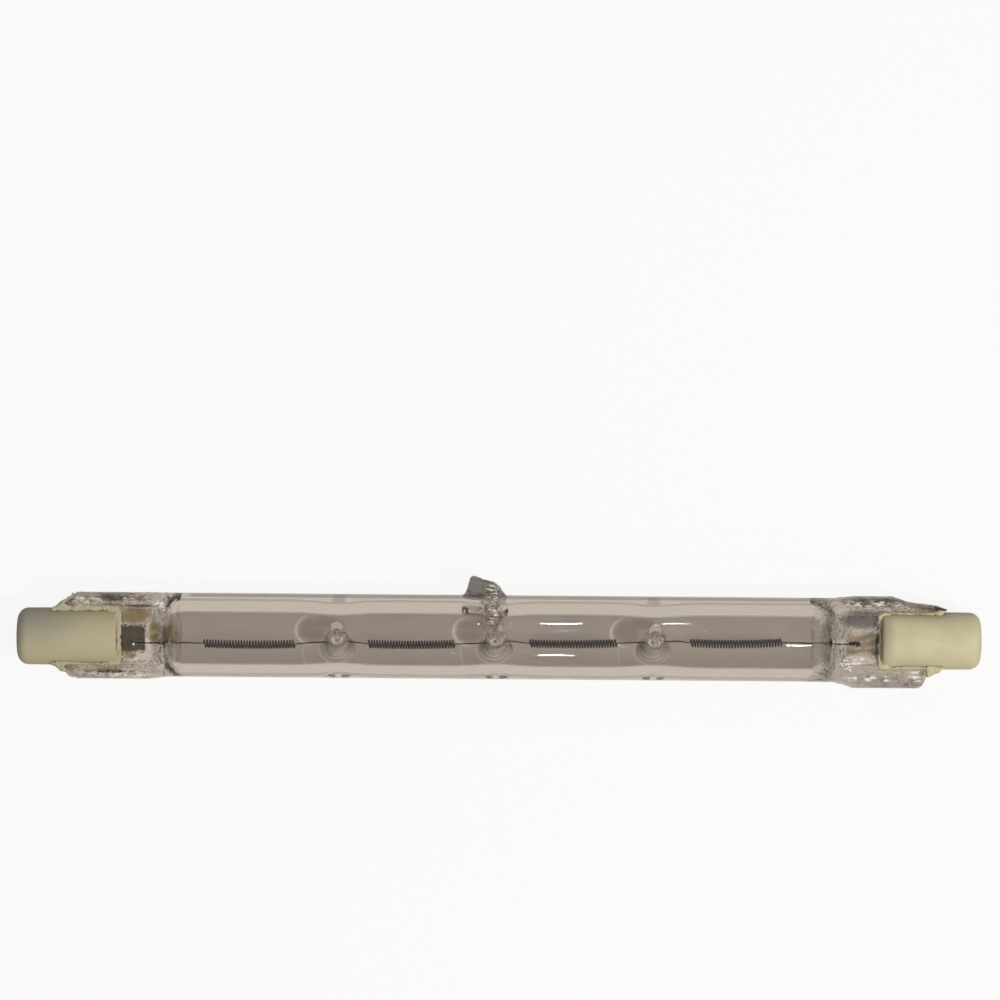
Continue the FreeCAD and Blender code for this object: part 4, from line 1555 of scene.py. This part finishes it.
@dataclass
class Stage:
    """The pale floor, the soft light and the camera that looks straight down. Its distances are
    metres, and each spark is a small lamp's place and width."""

    camera_distance: float = 0.60
    pixels_per_mm: float = 8.15
    picture_pixels: int = 1000
    lamp_centre_pixel: tuple[float, float] = (499.0, 637.2)
    lamp_tilt: float = 0.474
    sensor_mm: float = 36.0
    clip_range: tuple[float, float] = (0.01, 20.0)
    floor_size: float = 6.0
    floor_colour: str = "D0CBC3"
    white_share: float = 0.9
    mirrored_share: float = 0.25
    sky_colour: str = "F0EEEA"
    sky_strength: float = 0.43
    key_direction: tuple[float, float, float] = (0.57, -0.26, 1.0)
    key_distance: float = 0.42
    key_size: float = 0.006
    key_energy: float = 1.1
    sparks: tuple[tuple[float, float, float, float], ...] = (
        (0.0125, 0.26, 0.33, 0.009), (0.036, 0.29, 0.33, 0.009), (0.0125, -0.38, 0.33, 0.009),
        (0.059, -0.105, 0.36, 0.006))
    spark_energy: float = 0.07

    def seen_rays(self, material: bpy.types.Material | bpy.types.World) -> bpy.types.NodeSocket:
        """Mark the rays that show the background: the camera's own, those through glass and,
        more weakly, those off metal and glass.

        Args:
            material: The material or world that gets the nodes.

        Returns:
            A socket that gives how much of the background the ray shows.
        """
        ray = add_node(material, "LightPath")
        mirrored = join_values(material, "MULTIPLY", ray.outputs["Is Glossy Ray"], self.mirrored_share)
        return join_values(material, "MAXIMUM", ray.outputs["Is Camera Ray"],
                           ray.outputs["Is Transmission Ray"], mirrored)

    def add_floor(self, height: float) -> None:
        """Lay the floor, which the camera sees as white apart from the lamp's shadow.

        Args:
            height: Where its upper face lies, in metres.
        """
        deselect_all()
        bpy.ops.mesh.primitive_grid_add(x_subdivisions=4, y_subdivisions=4, size=self.floor_size,
                                        location=(0, 0, height))
        floor = bpy.context.object
        floor.name = "pale_floor"
        settle(floor)
        material = blank_material("painted_board")
        share = join_values(material, "MULTIPLY", self.seen_rays(material), self.white_share)
        board = add_node(material, "BsdfDiffuse", {"Color": linear(self.floor_colour)})
        white = add_node(material, "Emission", {"Color": (1, 1, 1, 1), "Strength": 1.0})
        mixed = add_node(material, "MixShader", links={0: share, 1: board.outputs[0],
                                                       2: white.outputs[0]})
        add_node(material, "OutputMaterial", links={"Surface": mixed.outputs[0]})
        floor.data.materials.append(material)
        floor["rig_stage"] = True

    def add_world(self) -> None:
        """Surround the lamp with an even pale light."""
        world = bpy.data.worlds.new("studio")
        world.use_nodes = True
        world.node_tree.nodes.clear()
        plain = add_node(world, "Background", {"Color": linear(self.sky_colour),
                                               "Strength": self.sky_strength})
        white = add_node(world, "Background", {"Color": (1, 1, 1, 1), "Strength": 1.0})
        mixed = add_node(world, "MixShader", links={0: self.seen_rays(world), 1: plain.outputs[0],
                                                    2: white.outputs[0]})
        add_node(world, "OutputWorld", links={"Surface": mixed.outputs[0]})
        bpy.context.scene.world = world

    def add_lamp(self, name: str, place: Vector, size: float, energy: float) -> None:
        """Hang one small round lamp that faces the bulb.

        Args:
            name: The lamp's name.
            place: Where it hangs, in metres.
            size: Its width, in metres.
            energy: Its power in watts.
        """
        data = bpy.data.lights.new(name, "AREA")
        data.shape = "DISK"
        data.size = size
        data.energy = energy
        lamp = bpy.data.objects.new(name, data)
        lamp.location = place
        lamp.rotation_euler = place.to_track_quat("Z", "Y").to_euler()
        bpy.context.collection.objects.link(lamp)

    def add_lamps(self) -> None:
        """Hang a small key lamp, which gives the coils their shadow, and weaker ones round the
        bulb for the small highlights on the glass."""
        self.add_lamp("key", Vector(self.key_direction).normalized() * self.key_distance, self.key_size,
                      self.key_energy)
        for index, (*place, size) in enumerate(self.sparks):
            self.add_lamp(f"spark_{index}", Vector(place), size, self.spark_energy)

    def add_camera(self) -> None:
        """Place the camera square above the lamp, framed as in the photograph."""
        data = bpy.data.cameras.new("camera")
        seen_mm = self.picture_pixels / self.pixels_per_mm
        data.sensor_width = self.sensor_mm
        data.lens = self.sensor_mm * self.camera_distance / (seen_mm * MM)
        half = self.picture_pixels / 2
        data.shift_x = (half - self.lamp_centre_pixel[0]) / self.picture_pixels
        data.shift_y = (self.lamp_centre_pixel[1] - half) / self.picture_pixels
        data.clip_start, data.clip_end = self.clip_range
        camera = bpy.data.objects.new("camera", data)
        camera.location = (0, 0, self.camera_distance)
        camera.rotation_euler = (0, 0, math.radians(self.lamp_tilt))
        bpy.context.collection.objects.link(camera)
        bpy.context.scene.camera = camera

    def build(self, floor_height: float) -> None:
        """Set up everything round the lamp.

        Args:
            floor_height: Where the lamp's lowest point rests, in metres.
        """
        self.add_floor(floor_height)
        self.add_world()
        self.add_lamps()
        self.add_camera()
        bpy.context.scene.view_settings.view_transform = "Standard"
        LOG.info("stage: floor at %.2f mm", floor_height / MM)


def main() -> None:
    """Build the lamp's pieces in order, then its stage."""
    logging.basicConfig(level=logging.INFO, format="%(message)s")
    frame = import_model()
    frame_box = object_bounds()
    # The left cap's painted shade darkens its top-left and its outer end; the right cap's darkens its inner
    # end and its +Y edge, and puts a tiny dark dot at (54.0, 0.05).
    steatites = {
        Side.LEFT: FiredClay("steatite_pressed_left", "AFA688", "B6AC8A", grain_mm=0.12, grain_depth_mm=0.03,
                             stain_mm=5.0, smudge="8F8C80",
                             smudges=((-57.5, 3.0, 8.5, 5.5, 0.8), (-59.0, -0.3, 1.3, 4.0, 0.6))),
        Side.RIGHT: FiredClay("steatite_pressed", "BFB695", "B8AD8B", grain_mm=0.12, grain_depth_mm=0.03,
                              smudges=((46.6, 0.3, 2.0, 4.5, 0.75), (53.0, 4.2, 9.0, 2.0, 0.55),
                                       (54.0, 0.05, 0.12, 0.1, 1.0)))}
    cements = {
        Side.LEFT: FiredClay("cap_cement_hardened_left", "B1A88A", "ACA283", grain_mm=0.2,
                             grain_depth_mm=0.08),
        Side.RIGHT: FiredClay("cap_cement_hardened", "BAB292", "B2A887", grain_mm=0.2, grain_depth_mm=0.08)}
    tungsten = DrawnMetal("tungsten_wire_drawn", "0E0C0B", "060505", 0.5, rim="302E2C").build()
    # Both foils are one metal; the left one's darker colours are painted dark reflection.
    foils = {Side.LEFT: DrawnMetal("molybdenum_foil_oxidised", "7E7C6D", "302F28", 0.24),
             Side.RIGHT: DrawnMetal("molybdenum_foil_rolled", "C4C0B0", "64625A", 0.28)}
    plate = DrawnMetal("nickel_plate_stamped", "B9B4A8", "8F8A7E", 0.35).build()
    wire = DrawnMetal("molybdenum_wire_drawn", "8A867C", "5C5850", 0.4).build()
    # Both bore walls are greyed as painted shade; the lower one also carries painted light and shade beside
    # the dimples.
    clear_wall = CavityWall("quartz_bore_clear", "DEDAD7", "D3CECB", clear_share=1.0).build()
    shaded_bore_wall = CavityWall("quartz_bore_filmed", "B9B9BD", "ACACB1", clear_share=0.5).build()
    Envelope().build(FusedQuartz().build(), clear_wall, shaded_bore_wall)
    Filament().build(tungsten)
    wrinkles = {Side.LEFT: 0.16, Side.RIGHT: 0.1}
    caps = {Side.LEFT: CeramicCap(Side.LEFT, drop=0.3, leg_round=0.2),
            Side.RIGHT: CeramicCap(Side.RIGHT, drop=0.0, leg_round=0.5)}
    for side in Side:
        SealFoil(side, wrinkle=wrinkles[side]).build(foils[side].build())
        caps[side].build(steatites[side].build())
        ContactButton(side).build(plate)
        CementFill(side).build(cements[side].build())
        OuterLead(side).dress(frame["nodes"], wire)
    Stage().build(frame_box[0].z)


if __name__ == "__main__":
    main()
